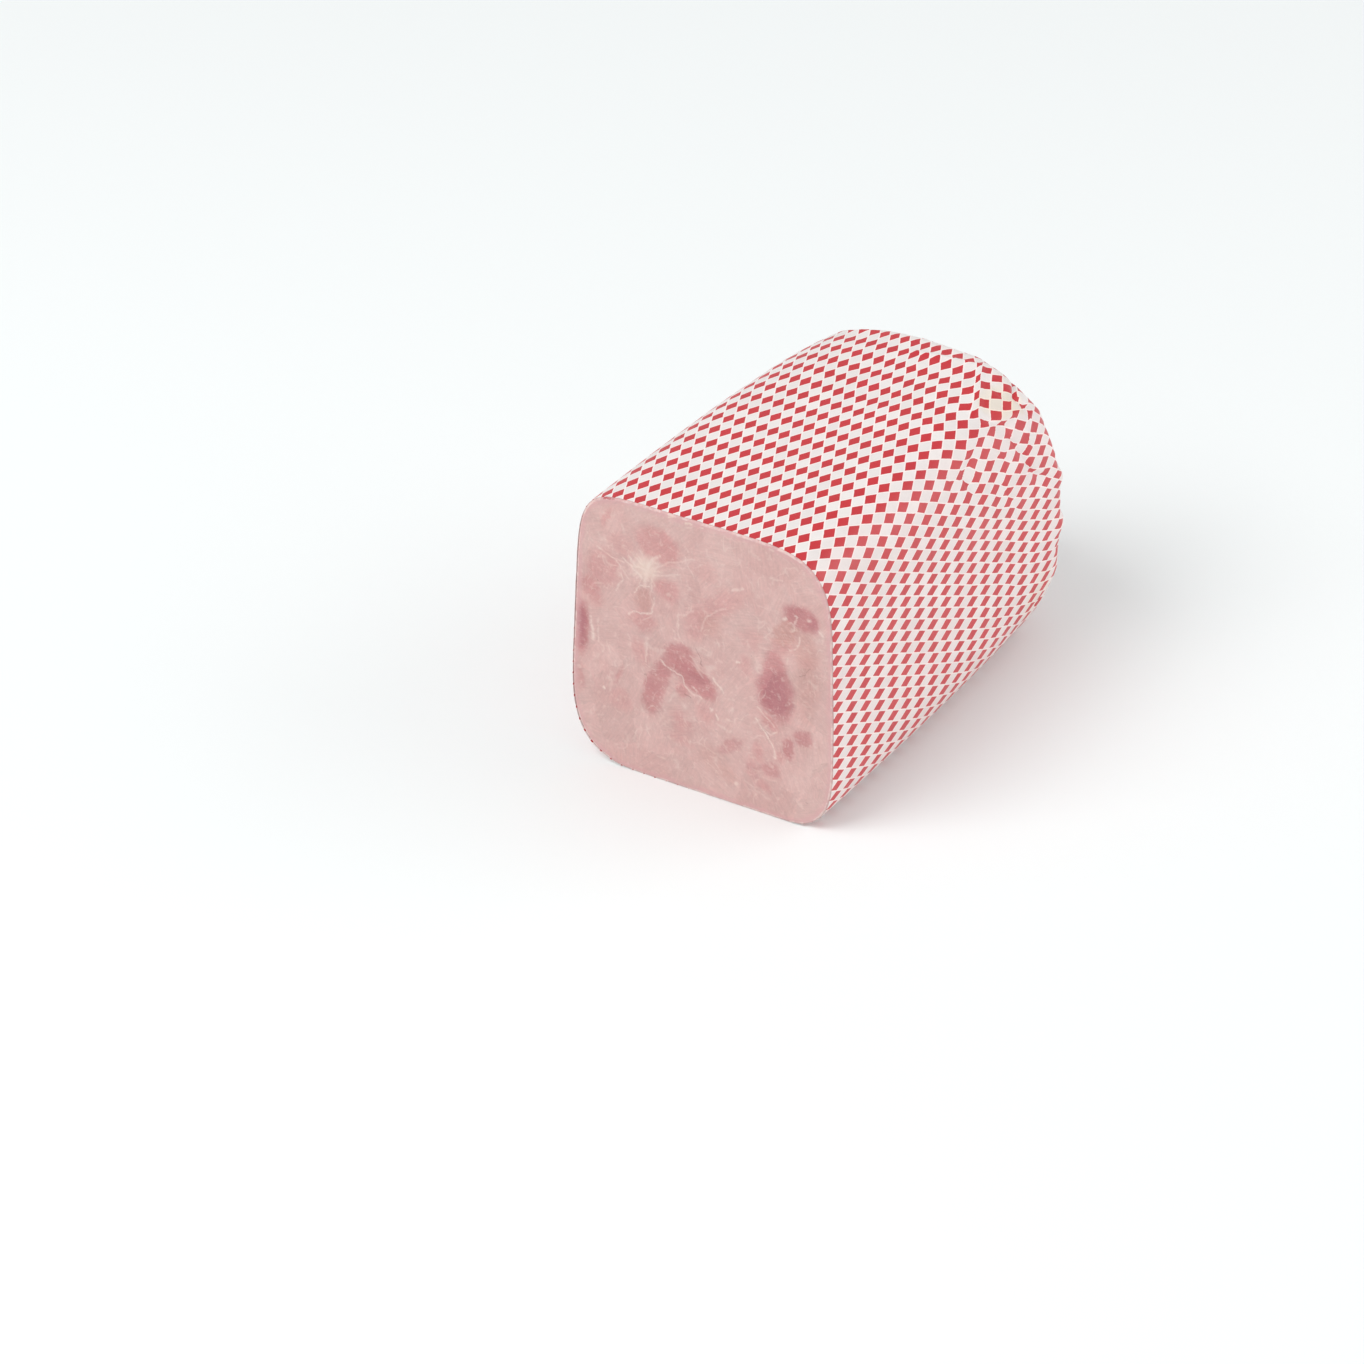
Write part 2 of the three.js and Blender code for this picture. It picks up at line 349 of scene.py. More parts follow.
@dataclass(frozen=True)
class PrintLayout:
    """How the checked print lies on the film, counted in its own repeats."""

    repeats_round: int = 84
    first_round: float = 2.485
    repeat_round: float = 5.65 * MM
    repeat_along: float = 10.995 * MM
    first_along: float = -6.21
    slant: float = 2.383 * MM
    slant_middle: float = 12.0

    def round(self, shares: Array) -> Array:
        """Repeats round the loaf at shares of the way round."""
        return self.first_round + shares * self.repeats_round

    def along(self, rounds: Array, reach: Array) -> Array:
        """Repeats along the loaf.

        Args:
            rounds: Repeats round it.
            reach: Distances from the cut along the film.

        Returns:
            The repeats at these places.
        """
        turn = 2 * math.pi * (rounds - self.slant_middle) / self.repeats_round
        askew = self.slant * (1 - np.cos(turn))
        return self.first_along + (reach - askew) / self.repeat_along


@dataclass(frozen=True)
class Crease:
    """A fold pressed into the film, along a line through places on the print."""

    line: tuple[Pair, ...]
    rise: float
    left: float
    right: float
    sharpness: float = 1.6
    tuck: float = 0.0
    ease: float = 0.25
    step: float = 0.3

    def press(self, film: Array, layout: PrintLayout) -> tuple[Array, Array]:
        """How the fold lifts the film and how much print it draws in.

        Args:
            film: Places on the print by rows, in repeats.
            layout: How the print lies on the film.

        Returns:
            The rise of each place, and the shift of its print in repeats.
        """
        scale = np.array([layout.repeat_round, layout.repeat_along])
        places = film * scale
        knots = np.array(self.line) * scale
        spans = np.diff(knots, axis=0)
        lengths = np.linalg.norm(spans, axis=1)
        starts = np.concatenate([[0.0], np.cumsum(lengths)])
        nearest = np.full(len(places), np.inf)
        signed = np.zeros(len(places))
        progress = np.zeros(len(places))
        across = np.zeros((len(places), 2))
        for knot, span, length, start in zip(knots, spans, lengths, starts):
            way = span / length
            offset = places - knot
            along = np.clip(offset @ way, 0, length)
            gap = offset - along[:, None] * way
            distance = np.linalg.norm(gap, axis=1)
            closer = distance < nearest
            side = way[0] * offset[:, 1] - way[1] * offset[:, 0]
            nearest = np.where(closer, distance, nearest)
            signed = np.where(closer, np.where(side >= 0, distance, -distance), signed)
            progress = np.where(closer, (start + along) / starts[-1], progress)
            across[closer] = (-way[1], way[0])
        fade = smoothstep(progress, 0, self.ease) * smoothstep(1 - progress, 0, self.ease)
        wide = np.where(signed >= 0, self.left, self.right)
        crest = np.exp(-((nearest / wide) ** self.sharpness)) * fade
        width = self.left + self.right
        drawn = np.tanh(signed / (self.step * width)) * np.exp(-nearest / width) * fade
        shift = 0.5 * self.tuck * drawn[:, None] * across * layout.repeat_round / scale
        return self.rise * crest, shift


@dataclass(frozen=True)
class Pleats:
    """The pleats that the film lies in round the dome, gathered towards the neck."""

    count: int = 15
    rise: float = 1.5 * MM
    start: float = 28 * MM
    full: float = 8 * MM
    drift: Triple = (3, 0.8, 1.0)
    wander: Triple = (2, 0.5, 170)
    full_radius: float = 22 * MM
    deepest_place: float = 0.14
    deepest_gain: float = 0.5
    fine_count: int = 38
    fine_rise: float = 0.55 * MM
    fine_start: float = 17 * MM
    fine_drift: Triple = (5, 1.1, 0.4)
    flat: Pair = (0.12, 0.2)
    flat_reach: float = 10 * MM

    def heights(self, form: LoafForm, skin: Skin, neck: Array) -> Array:
        """How far the pleats stand out at each point of the loaf's surface.

        Args:
            form: The loaf's form.
            skin: Its surface.
            neck: The middle of the neck, about the loaf's axis.

        Returns:
            The rise of each point.
        """
        y = skin.points[:, :, 1]
        share = np.broadcast_to(skin.shares, y.shape)
        radius = np.linalg.norm((skin.points - neck)[:, :, [0, 2]], axis=2)
        gathered = np.minimum(1, radius / self.full_radius)
        turn = 2 * math.pi
        waves, size, phase = self.drift
        drift = size * np.sin(turn * waves * share + phase)
        waves, size, climb = self.wander
        wander = size * np.sin(turn * waves * share + climb * y)
        ridge = np.maximum(0, np.cos(turn * self.count * share + drift + wander)) ** 2
        depth = 1 + self.deepest_gain * np.cos(turn * (share - self.deepest_place))
        grown = smoothstep(y, form.length - self.start, form.length - self.full)
        beside = smoothstep(np.abs(share - 0.5), *self.flat)
        beyond = smoothstep(y, form.length - self.flat_reach, form.length)
        left = np.maximum(beside, beyond)
        main = self.rise * grown * ridge * depth * gathered * left
        waves, size, phase = self.fine_drift
        swing = size * np.sin(turn * waves * share + phase)
        fine = np.abs(np.cos(turn * self.fine_count / 2 * share + swing + 2 * wander)) ** 3
        late = smoothstep(y, form.length - self.fine_start, form.length)
        return main + self.fine_rise * late * fine * gathered * left


VISIBLE_FOLDS: tuple[Crease, ...] = (
    Crease(
        ((7.6, 10.7), (8.2, 9.9), (9.1, 8.95), (9.9, 8.2), (10.8, 7.35), (11.6, 6.6)),
        1.15 * MM, 2.5 * MM, 2.5 * MM, 2.6, 0.95,
    ),
    Crease(
        (
            (13.1, 11.0), (13.0, 8.8), (12.6, 7.7), (12.6, 6.2),
            (12.9, 5.6), (13.2, 4.8), (13.6, 3.8), (14.0, 2.4),
        ),
        1.2 * MM, 3.4 * MM, 3.6 * MM, 1.0, 0.45, 0.3,
    ),
    Crease(
        ((10.4, 11.4), (11.2, 10.7), (11.9, 9.9), (12.9, 10.0), (13.6, 10.8)),
        -1.5 * MM, 1.1 * MM, 2.4 * MM, 1.1, 0.9,
    ),
    Crease(
        ((11.0, 7.1), (11.8, 7.2), (12.6, 7.5), (13.0, 8.2), (13.2, 9.2)),
        -0.9 * MM, 0.9 * MM, 1.8 * MM, 1.1, 0.7,
    ),
    Crease(
        (
            (12.9, 8.1), (14.3, 8.05), (15.5, 8.35), (16.4, 8.6),
            (17.6, 8.8), (18.6, 9.4), (19.8, 10.5),
        ),
        -1.2 * MM, 1.1 * MM, 2.6 * MM, 1.1, 0.9,
    ),
    Crease(
        ((13.5, 10.8), (14.0, 9.8), (14.6, 9.4), (15.6, 9.1), (16.8, 9.4)),
        1.1 * MM, 1.8 * MM, 1.8 * MM, 1.0, 0.5,
    ),
    Crease(
        ((13.4, 5.6), (13.5, 4.6), (14.2, 4.05), (15.3, 4.25), (16.6, 4.6)),
        -0.8 * MM, 1.0 * MM, 2.2 * MM, 1.1, 0.7,
    ),
    Crease(
        ((1.6, 9.3), (3.6, 9.35), (5.8, 9.6), (7.6, 9.9), (8.8, 10.3)),
        1.0 * MM, 1.2 * MM, 2.4 * MM, 1.1, 0.7,
    ),
    Crease(((9.8, 9.5), (10.8, 9.3), (11.8, 9.3)), -0.6 * MM, 2.5 * MM, 2.5 * MM, 2.0, 0.2),
    Crease(
        ((-9.0, 10.2), (-6.5, 9.8), (-3.5, 9.9), (-1.0, 10.3)),
        0.9 * MM, 1.4 * MM, 2.2 * MM, 1.3, 0.5,
    ),
    Crease(
        ((16.0, 6.1), (17.6, 6.7), (19.2, 7.3), (21.0, 7.9)),
        -0.45 * MM, 1.2 * MM, 2.4 * MM, 1.3, 0.3,
    ),
    Crease(((13.8, 6.3), (14.8, 6.9), (15.8, 7.6)), 0.6 * MM, 1.4 * MM, 1.8 * MM, 1.2, 0.4, 0.4),
    Crease(
        ((12.6, 3.4), (13.6, 3.0), (14.8, 2.9), (15.6, 2.5)),
        0.4 * MM, 0.8 * MM, 1.8 * MM, 1.2, 0.25, 0.4,
    ),
    Crease(((12.8, 0.9), (13.9, 0.6), (15.0, 0.8)), 0.3 * MM, 0.9 * MM, 1.6 * MM, 1.2, 0.2, 0.4),
    Crease(
        ((14.4, -1.4), (15.4, -1.8), (16.6, -1.7)),
        0.3 * MM, 0.9 * MM, 1.6 * MM, 1.2, 0.15, 0.4,
    ),
)


@dataclass(frozen=True)
class HiddenFolds:
    """Folds on the sides and the far end that nothing shows, of the same kind as the rest."""

    seed: int = 18
    on_left: tuple[float, float, int] = (-36, -14, 10)
    on_right: tuple[float, float, int] = (27, 40, 4)
    scatter: float = 1.2
    first_along: Pair = (8.2, 10.8)
    lean: float = 1.2
    reaches: tuple[float, ...] = (0.0, 1.0, 2.2, 3.4)
    kink: float = 0.3
    climb: Pair = (0.1, 0.6)
    rise: Pair = (0.6, 1.5)
    wide: Pair = (1.3 * MM, 2.4 * MM)
    sharpness: float = 1.4
    tuck: float = 0.5

    def scattered(self) -> list[Crease]:
        """Scatters the folds.

        Returns:
            The folds, the same each time.
        """
        chance = np.random.default_rng(self.seed)
        folds = []
        for place in [*np.linspace(*self.on_left), *np.linspace(*self.on_right)]:
            start = chance.uniform(-self.scatter, self.scatter) + place
            along = chance.uniform(*self.first_along)
            lean = chance.uniform(-self.lean, self.lean)
            line = []
            for reach in self.reaches:
                across = start + reach * lean + chance.uniform(-self.kink, self.kink)
                line.append((across, along + reach * chance.uniform(*self.climb)))
            size = chance.uniform(*self.rise) * MM
            rise = size if chance.random() < 0.5 else -size
            folds.append(Crease(tuple(line), rise, *self.wide, self.sharpness, self.tuck))
        return folds


# Mesh work


def deselect_all() -> None:
    """Leaves object mode with nothing selected."""
    if bpy.context.object and bpy.context.object.mode != "OBJECT":
        bpy.ops.object.mode_set(mode="OBJECT")
    bpy.ops.object.select_all(action="DESELECT")


def take_up(piece: Piece) -> None:
    """Makes a piece the one that operators act on.

    Args:
        piece: The piece.
    """
    deselect_all()
    piece.select_set(True)
    bpy.context.view_layer.objects.active = piece


def corners_of(piece: Piece) -> Array:
    """The places of a piece's points.

    Args:
        piece: The piece.

    Returns:
        The places by rows.
    """
    places = np.zeros(len(piece.data.vertices) * 3, np.float32)
    piece.data.vertices.foreach_get("co", places)
    return places.reshape(-1, 3).astype(float)


def move_corners(piece: Piece, places: Array) -> None:
    """Puts the piece's points at these places."""
    piece.data.vertices.foreach_set("co", places.astype(np.float32).ravel())
    piece.data.update()


def pick_corners(piece: Piece, chosen: Iterable[int]) -> None:
    """Selects some points of a piece and no others, in object mode.

    Args:
        piece: The piece.
        chosen: The points' numbers.
    """
    mesh = piece.data
    mesh.polygons.foreach_set("select", np.zeros(len(mesh.polygons), bool))
    mesh.edges.foreach_set("select", np.zeros(len(mesh.edges), bool))
    flags = np.zeros(len(mesh.vertices), bool)
    flags[list(chosen)] = True
    mesh.vertices.foreach_set("select", flags)


def in_edit_mode(piece: Piece, chosen: Iterable[int] | None, work: Callable[[], object]) -> None:
    """Runs operators in edit mode on chosen points, or on all of the piece.

    Args:
        piece: The piece.
        chosen: The points that are selected, or None for all.
        work: What is done to them.
    """
    take_up(piece)
    if chosen is not None:
        pick_corners(piece, chosen)
    bpy.ops.object.mode_set(mode="EDIT")
    bpy.ops.mesh.select_mode(type="VERT")
    if chosen is None:
        bpy.ops.mesh.select_all(action="SELECT")
    work()
    bpy.ops.object.mode_set(mode="OBJECT")


def extrude_ring(piece: Piece, ring: Array, targets: Array) -> Array:
    """Draws a closed ring of points out into a new ring.

    Args:
        piece: The piece.
        ring: The ring's points in their order.
        targets: Where the new ring's points go, in the same order.

    Returns:
        The new ring's points in that order.
    """
    before = len(piece.data.vertices)
    in_edit_mode(piece, ring.tolist(), lambda: bpy.ops.mesh.extrude_edges_move())
    places = corners_of(piece)
    new = np.arange(before, len(places))
    gaps = np.linalg.norm(places[ring][:, None] - places[new][None], axis=2)
    drawn = new[gaps.argmin(axis=1)]
    places[drawn] = targets
    move_corners(piece, places)
    return drawn


def close_ring(piece: Piece, ring: Array, place: Array) -> None:
    """Draws a ring together to one point at this place."""
    drawn = extrude_ring(piece, ring, np.broadcast_to(place, (len(ring), 3)))
    in_edit_mode(piece, drawn.tolist(), lambda: bpy.ops.mesh.remove_doubles(threshold=0.01 * MM))


def draw_to_end(piece: Piece, ring: Array, rows: Array, place: Placement, depth: float) -> None:
    """Draws a ring along the loaf, row by row, and closes it behind the last.

    Args:
        piece: The piece.
        ring: The ring's points in their order.
        rows: Where its points go, about the loaf's axis.
        place: Where the axis lies.
        depth: How far behind the last row the closing point lies.
    """
    for row in rows:
        ring = extrude_ring(piece, ring, place.put(row))
    end = rows[-1].mean(axis=0)
    end[1] += depth
    close_ring(piece, ring, place.put(end))


def point_outwards(piece: Piece) -> None:
    """Turns all faces of a closed piece outwards."""
    in_edit_mode(piece, None, lambda: bpy.ops.mesh.normals_make_consistent(inside=False))


def smooth(piece: Piece, angle: float = 60.0) -> None:
    """Shades a piece smooth, apart from edges sharper than an angle in degrees."""
    take_up(piece)
    bpy.ops.object.shade_smooth_by_angle(angle=math.radians(angle))


def finish_piece(piece: Piece, nodes: Sequence[str]) -> None:
    """Puts a finished piece on the frame's one body.

    Args:
        piece: The piece, in place.
        nodes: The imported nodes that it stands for.
    """
    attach(piece, "root")
    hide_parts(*nodes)


def printed_sheet(name: str, points: Array, film: Array) -> Piece:
    """A flat printed sheet, laid over rows of points and joined along its seam.

    The print's places go into the sheet's own UV map before the sheet is wrapped, and
    keep to the film at the seam. No operator wraps a sheet over a form, so its points
    are put where the form's functions say.

    Args:
        name: The piece's name.
        points: Where the sheet goes, by rows and columns; the last column is the seam.
        film: The print's places in repeats, by rows and columns.

    Returns:
        The sheet, open at its first and last rows unless a row is a single point.
    """
    rows, columns = points.shape[:2]
    deselect_all()
    bpy.ops.mesh.primitive_grid_add(x_subdivisions=columns - 1, y_subdivisions=rows - 1, size=2)
    sheet = bpy.context.object
    sheet.name = sheet.data.name = name
    flat = corners_of(sheet)
    column = np.rint((flat[:, 0] + 1) / 2 * (columns - 1)).astype(int)
    row = np.rint((flat[:, 1] + 1) / 2 * (rows - 1)).astype(int)
    move_corners(sheet, points[row, column])
    sheet.data.uv_layers[0].name = "print"
    loops = np.zeros(len(sheet.data.loops), np.int32)
    sheet.data.loops.foreach_get("vertex_index", loops)
    places = film[row[loops], column[loops]]
    sheet.data.uv_layers["print"].uv.foreach_set("vector", places.astype(np.float32).ravel())
    in_edit_mode(sheet, None, lambda: bpy.ops.mesh.remove_doubles(threshold=0.002 * MM))
    return sheet


# Shader work


class Board:
    """Adds nodes to a material or a group, and links them."""

    def __init__(self, tree: NodeTree, effects: "Effects | None" = None) -> None:
        """Takes the tree that the nodes go into, and the groups that they share."""
        self.tree, self.effects = tree, effects

    def add(self, kind: str, feeds: Feeds | None = None, **settings: object) -> Node:
        """Adds a node.

        Args:
            kind: The node's type.
            feeds: What goes into its inputs, by name or number: a socket or a value.
            settings: The node's own options.

        Returns:
            The node.
        """
        node = self.tree.nodes.new(kind)
        for name, value in settings.items():
            setattr(node, name, value)
        for name, value in (feeds or {}).items():
            if isinstance(value, Socket):
                self.tree.links.new(value, node.inputs[name])
            else:
                node.inputs[name].default_value = value
        return node

    def use(self, group: NodeTree, feeds: Feeds) -> Node:
        """Places a node group with its own values."""
        return self.add("ShaderNodeGroup", feeds, node_tree=group)

    def feed(self, node: Node, name: str, source: Socket) -> None:
        """Links a socket to one input of a node."""
        self.tree.links.new(source, node.inputs[name])

    def object_place(self) -> Socket:
        """The place on the piece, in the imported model's frame."""
        return self.add("ShaderNodeTexCoord").outputs["Object"]

    def math(self, operation: str, *values: object) -> Socket:
        """A sum or other working on numbers."""
        return self.add("ShaderNodeMath", dict(enumerate(values)), operation=operation).outputs[0]

    def times(self, first: object, second: object) -> Socket:
        """The product of two numbers."""
        return self.math("MULTIPLY", first, second)

    def vector(self, operation: str, *values: object, out: str = "Vector") -> Socket:
        """A working on vectors, with the result named by out."""
        feeds = dict(enumerate(values))
        return self.add("ShaderNodeVectorMath", feeds, operation=operation).outputs[out]

    def scaled(self, vector: object, scale: object) -> Socket:
        """A vector times a number."""
        feeds = {0: vector, "Scale": scale}
        return self.add("ShaderNodeVectorMath", feeds, operation="SCALE").outputs["Vector"]

    def joined(self, x: object = 0.0, y: object = 0.0, z: object = 0.0) -> Socket:
        """A vector of three numbers."""
        return self.add("ShaderNodeCombineXYZ", {0: x, 1: y, 2: z}).outputs[0]

    def parted(self, vector: Socket) -> tuple[Socket, Socket, Socket]:
        """The three numbers of a vector."""
        return tuple(self.add("ShaderNodeSeparateXYZ", {0: vector}).outputs[:3])

    def turned(self, vector: object, angle: object) -> Socket:
        """A vector turned in the plane of the cut."""
        feeds = {"Vector": vector, "Angle": angle}
        return self.add("ShaderNodeVectorRotate", feeds, rotation_type="Y_AXIS").outputs["Vector"]

    def between(self, share: object, first: object, second: object) -> Socket:
        """A number between two others."""
        feeds = {0: share, 2: first, 3: second}
        return self.add("ShaderNodeMix", feeds, data_type="FLOAT").outputs[0]

    def mix(self, factor: object, first: object, second: object) -> Socket:
        """A blend of two colours."""
        return self.tint(factor, first, second, "MIX")

    def tint(self, factor: object, first: object, second: object, how: str) -> Socket:
        """A second colour laid on the first in a named way."""
        feeds = {0: factor, 6: rgba(first), 7: rgba(second)}
        return self.add("ShaderNodeMix", feeds, data_type="RGBA", blend_type=how).outputs[2]

    def lit(self, colour: object, brightness: Socket) -> Socket:
        """A colour made lighter or darker by a brightness about one."""
        grey = self.add("ShaderNodeCombineColor", dict.fromkeys(range(3), brightness)).outputs[0]
        return self.tint(1.0, colour, grey, "MULTIPLY")

    def shaded(self, colour: Socket, value: Socket, reach: float) -> Socket:
        """A colour made lighter and darker by a value about nought."""
        return self.lit(colour, self.math("MULTIPLY_ADD", value, reach, 1.0))

    def ramp(
        self, value: object, low: object, high: object, start: object = 0.0, end: object = 1.0
    ) -> Socket:
        """A value carried from one range to another, and held at its ends.

        Args:
            value: What is carried over.
            low: Where the range starts.
            high: Where it ends.
            start: The result at its start.
            end: The result at its end.

        Returns:
            The result, with a soft start and end.
        """
        feeds = {"Value": value, "From Min": low, "From Max": high, "To Min": start, "To Max": end}
        ramp = self.add("ShaderNodeMapRange", feeds, interpolation_type="SMOOTHSTEP", clamp=False)
        return ramp.outputs["Result"]

    def noise(
        self,
        place: object,
        scale: object,
        detail: float = 3.0,
        roughness: float = 0.55,
        out: str = "Fac",
        warp: float = 0.0,
    ) -> Socket:
        """Cloudy noise over a place.

        Args:
            place: The place.
            scale: How close the clouds lie.
            detail: How many finer sizes are added to them.
            roughness: How strong the finer ones are.
            out: The name of the result, a number or a colour.
            warp: How far the clouds are pulled about.

        Returns:
            The noise.
        """
        feeds = {"Vector": place, "Scale": scale, "Detail": detail}
        feeds |= {"Roughness": roughness, "Distortion": warp}
        return self.add("ShaderNodeTexNoise", feeds).outputs[out]

    def centred(self, cloud: Socket) -> Socket:
        """A noise's colour as a vector about nought."""
        return self.vector("SUBTRACT", cloud, (0.5, 0.5, 0.5))

    def moved(self, place: Socket, waves: Sequence[Pair], detail: float) -> Socket:
        """A place moved about by noise of several sizes, so that edges wander.

        Args:
            place: The place.
            waves: How close the clouds of each size lie, and how far they move it.
            detail: How detailed the clouds are.

        Returns:
            The place moved.
        """
        for scale, reach in waves:
            cloud = self.noise(place, scale, detail, out="Color")
            place = self.vector("ADD", place, self.scaled(self.centred(cloud), reach))
        return place


def rgba(colour: object) -> object:
    """A colour with its alpha, or the socket as it is."""
    return (*colour, 1.0) if isinstance(colour, tuple) and len(colour) == 3 else colour


def new_material(name: str, effects: "Effects") -> tuple[Material, Board, Node]:
    """A material with its shader.

    Args:
        name: The material's name.
        effects: The shared node groups.

    Returns:
        The material, its board and its Principled shader.
    """
    material = bpy.data.materials.new(name)
    material.use_nodes = True
    board = Board(material.node_tree, effects)
    return material, board, material.node_tree.nodes["Principled BSDF"]


class Kind(Enum):
    """The kinds of socket that a group has."""

    NUMBER = "NodeSocketFloat"
    PLACE = "NodeSocketVector"


@dataclass
class Group:
    """A node group in the making."""

    tree: NodeTree
    board: Board
    given: bpy.types.NodeOutputs
    result: Node

    @classmethod
    def of(
        cls, name: str, places: Sequence[str], numbers: Sequence[str], outs: Sequence[str]
    ) -> "Group":
        """An empty node group with its named sockets.

        Args:
            name: The group's name.
            places: The inputs that are places.
            numbers: The inputs that are numbers.
            outs: The outputs, all of them numbers.

        Returns:
            The group.
        """
        tree = bpy.data.node_groups.new(name, "ShaderNodeTree")
        for labels, kind in ((places, Kind.PLACE), (numbers, Kind.NUMBER)):
            for label in labels:
                tree.interface.new_socket(label, in_out="INPUT", socket_type=kind.value)
        for label in outs:
            tree.interface.new_socket(label, in_out="OUTPUT", socket_type=Kind.NUMBER.value)
        given = tree.nodes.new("NodeGroupInput").outputs
        return cls(tree, Board(tree), given, tree.nodes.new("NodeGroupOutput"))

    def put_out(self, **results: Socket) -> NodeTree:
        """Links the results to the outputs of their names.

        Args:
            results: The results by name.

        Returns:
            The finished group.
        """
        for name, socket in results.items():
            self.board.feed(self.result, name, socket)
        return self.tree


class Effects:
    """The node groups that the materials share."""

    def __init__(self) -> None:
        """Builds each group once."""
        self.patch = self._patch()
        self.vein = self._vein()
        self.lozenges = self._lozenges()
        self.mottle = self._mottle()

    @staticmethod
    def _patch() -> NodeTree:
        """A soft-edged oval mask, in the plane of the cut.

        Returns:
            The group.
        """
        places = ("Place", "Centre", "Reach")
        group = Group.of("muscle patch", places, ("Turn", "Softness"), ("Mask",))
        board, given = group.board, group.given
        offset = board.vector("SUBTRACT", given["Place"], given["Centre"])
        oval = board.vector("DIVIDE", board.turned(offset, given["Turn"]), given["Reach"])
        away = board.vector("LENGTH", oval, out="Value")
        inner = board.math("SUBTRACT", 1.0, given["Softness"])
        outer = board.math("ADD", 1.0, given["Softness"])
        return group.put_out(Mask=board.ramp(away, inner, outer, 1.0, 0.0))

    @staticmethod
    def _vein() -> NodeTree:
        """A mask along a straight stretch between two places.

        Returns:
            The group.
        """
        group = Group.of("fat vein", ("Place", "Start", "End"), ("Width",), ("Mask",))
        board, given = group.board, group.given
        offset = board.vector("SUBTRACT", given["Place"], given["Start"])
        span = board.vector("SUBTRACT", given["End"], given["Start"])
        reach = board.vector("DOT_PRODUCT", offset, span, out="Value")
        length = board.vector("DOT_PRODUCT", span, span, out="Value")
        share = board.math("MAXIMUM", board.math("DIVIDE", reach, length), 0.0)
        nearest = board.scaled(span, board.math("MINIMUM", share, 1.0))
        gap = board.vector("SUBTRACT", offset, nearest)
        away = board.vector("LENGTH", gap, out="Value")
        return group.put_out(Mask=board.ramp(away, 0.0, given["Width"], 1.0, 0.0))

    @staticmethod
    def _lozenges() -> NodeTree:
        """The checked print: red lozenges, pale ones between, and the lines that part them.

        Returns:
            The group. Its tone is a number for each lozenge.
        """
        numbers = ("Red Reach", "Pale Reach", "Blur")
        group = Group.of("checked print", ("Film",), numbers, ("Red", "Pale", "Tone"))
        board, given = group.board, group.given
        gaps, cells = [], []
        for part in board.parted(given["Film"])[:2]:
            whole = board.math("ROUND", part)
            gaps.append(board.math("ABSOLUTE", board.math("SUBTRACT", part, whole)))
            cells.append((whole, board.math("ADD", board.math("FLOOR", part), 0.5)))
        spread = board.math("ADD", *gaps)

        def edge(name: str, inside: float, outside: float) -> Socket:
            """The soft edge at a reach, from its value inside to its value outside."""
            bounds = [board.math(how, given[name], given["Blur"]) for how in ("SUBTRACT", "ADD")]
            return board.ramp(spread, *bounds, inside, outside)

        is_pale = board.math("GREATER_THAN", spread, 0.5)
        cell = board.joined(*(board.between(is_pale, whole, half) for whole, half in cells))
        tone = board.add("ShaderNodeTexWhiteNoise", {"Vector": cell}, noise_dimensions="2D")
        red, pale = edge("Red Reach", 1.0, 0.0), edge("Pale Reach", 0.0, 1.0)
        return group.put_out(Red=red, Pale=pale, Tone=tone.outputs["Value"])

    @staticmethod
    def _mottle() -> NodeTree:
        """Two sizes of cloudy variation, about nought.

        Returns:
            The group.
        """
        group = Group.of("fine mottle", ("Place",), ("Coarse", "Fine", "Share"), ("Value",))
        board, given = group.board, group.given
        coarse = board.noise(given["Place"], given["Coarse"], 2.0, 0.5)
        fine = board.noise(given["Place"], given["Fine"], 3.0, 0.5)
        both = board.between(given["Share"], coarse, fine)
        return group.put_out(Value=board.math("SUBTRACT", both, 0.5))


# Finishes


@dataclass(frozen=True)
class Cloud:
    """Cloudy cover: how close and detailed its clouds are, and the range it is carried to."""

    scale: float
    detail: float
    low: float
    high: float
    least: float = 0.0
    most: float = 1.0
    warp: float = 0.0

    def over(self, board: Board, place: Socket) -> Socket:
        """The cover of a place."""
        cloud = board.noise(place, self.scale, self.detail, warp=self.warp)
        return board.ramp(cloud, self.low, self.high, self.least, self.most)


@dataclass(frozen=True)
class Mottle:
    """Cloudy variation: how close its coarse and its fine clouds lie, and the fine ones' share."""

    coarse: float
    fine: float
    share: float

    def over(self, board: Board, place: Socket) -> Socket:
        """The variation over a place, about nought."""
        feeds = {"Place": place, "Coarse": self.coarse, "Fine": self.fine, "Share": self.share}
        return board.use(board.effects.mottle, feeds).outputs["Value"]


@dataclass(frozen=True)
class Bumps:
    """How strongly a height shows as bumps, and how deep they are."""

    strength: float
    depth: float

    def dress(self, board: Board, shader: Node, height: Socket) -> None:
        """Feeds the shader with the bumps of a height."""
        feeds = {"Strength": self.strength, "Distance": self.depth, "Height": height}
        board.feed(shader, "Normal", board.add("ShaderNodeBump", feeds).outputs["Normal"])


@dataclass(frozen=True)
class CreamPatch:
    """A creamier place on the print, in repeats round and along it."""

    round: float
    along: float
    wide: float
    long: float
    strength: float


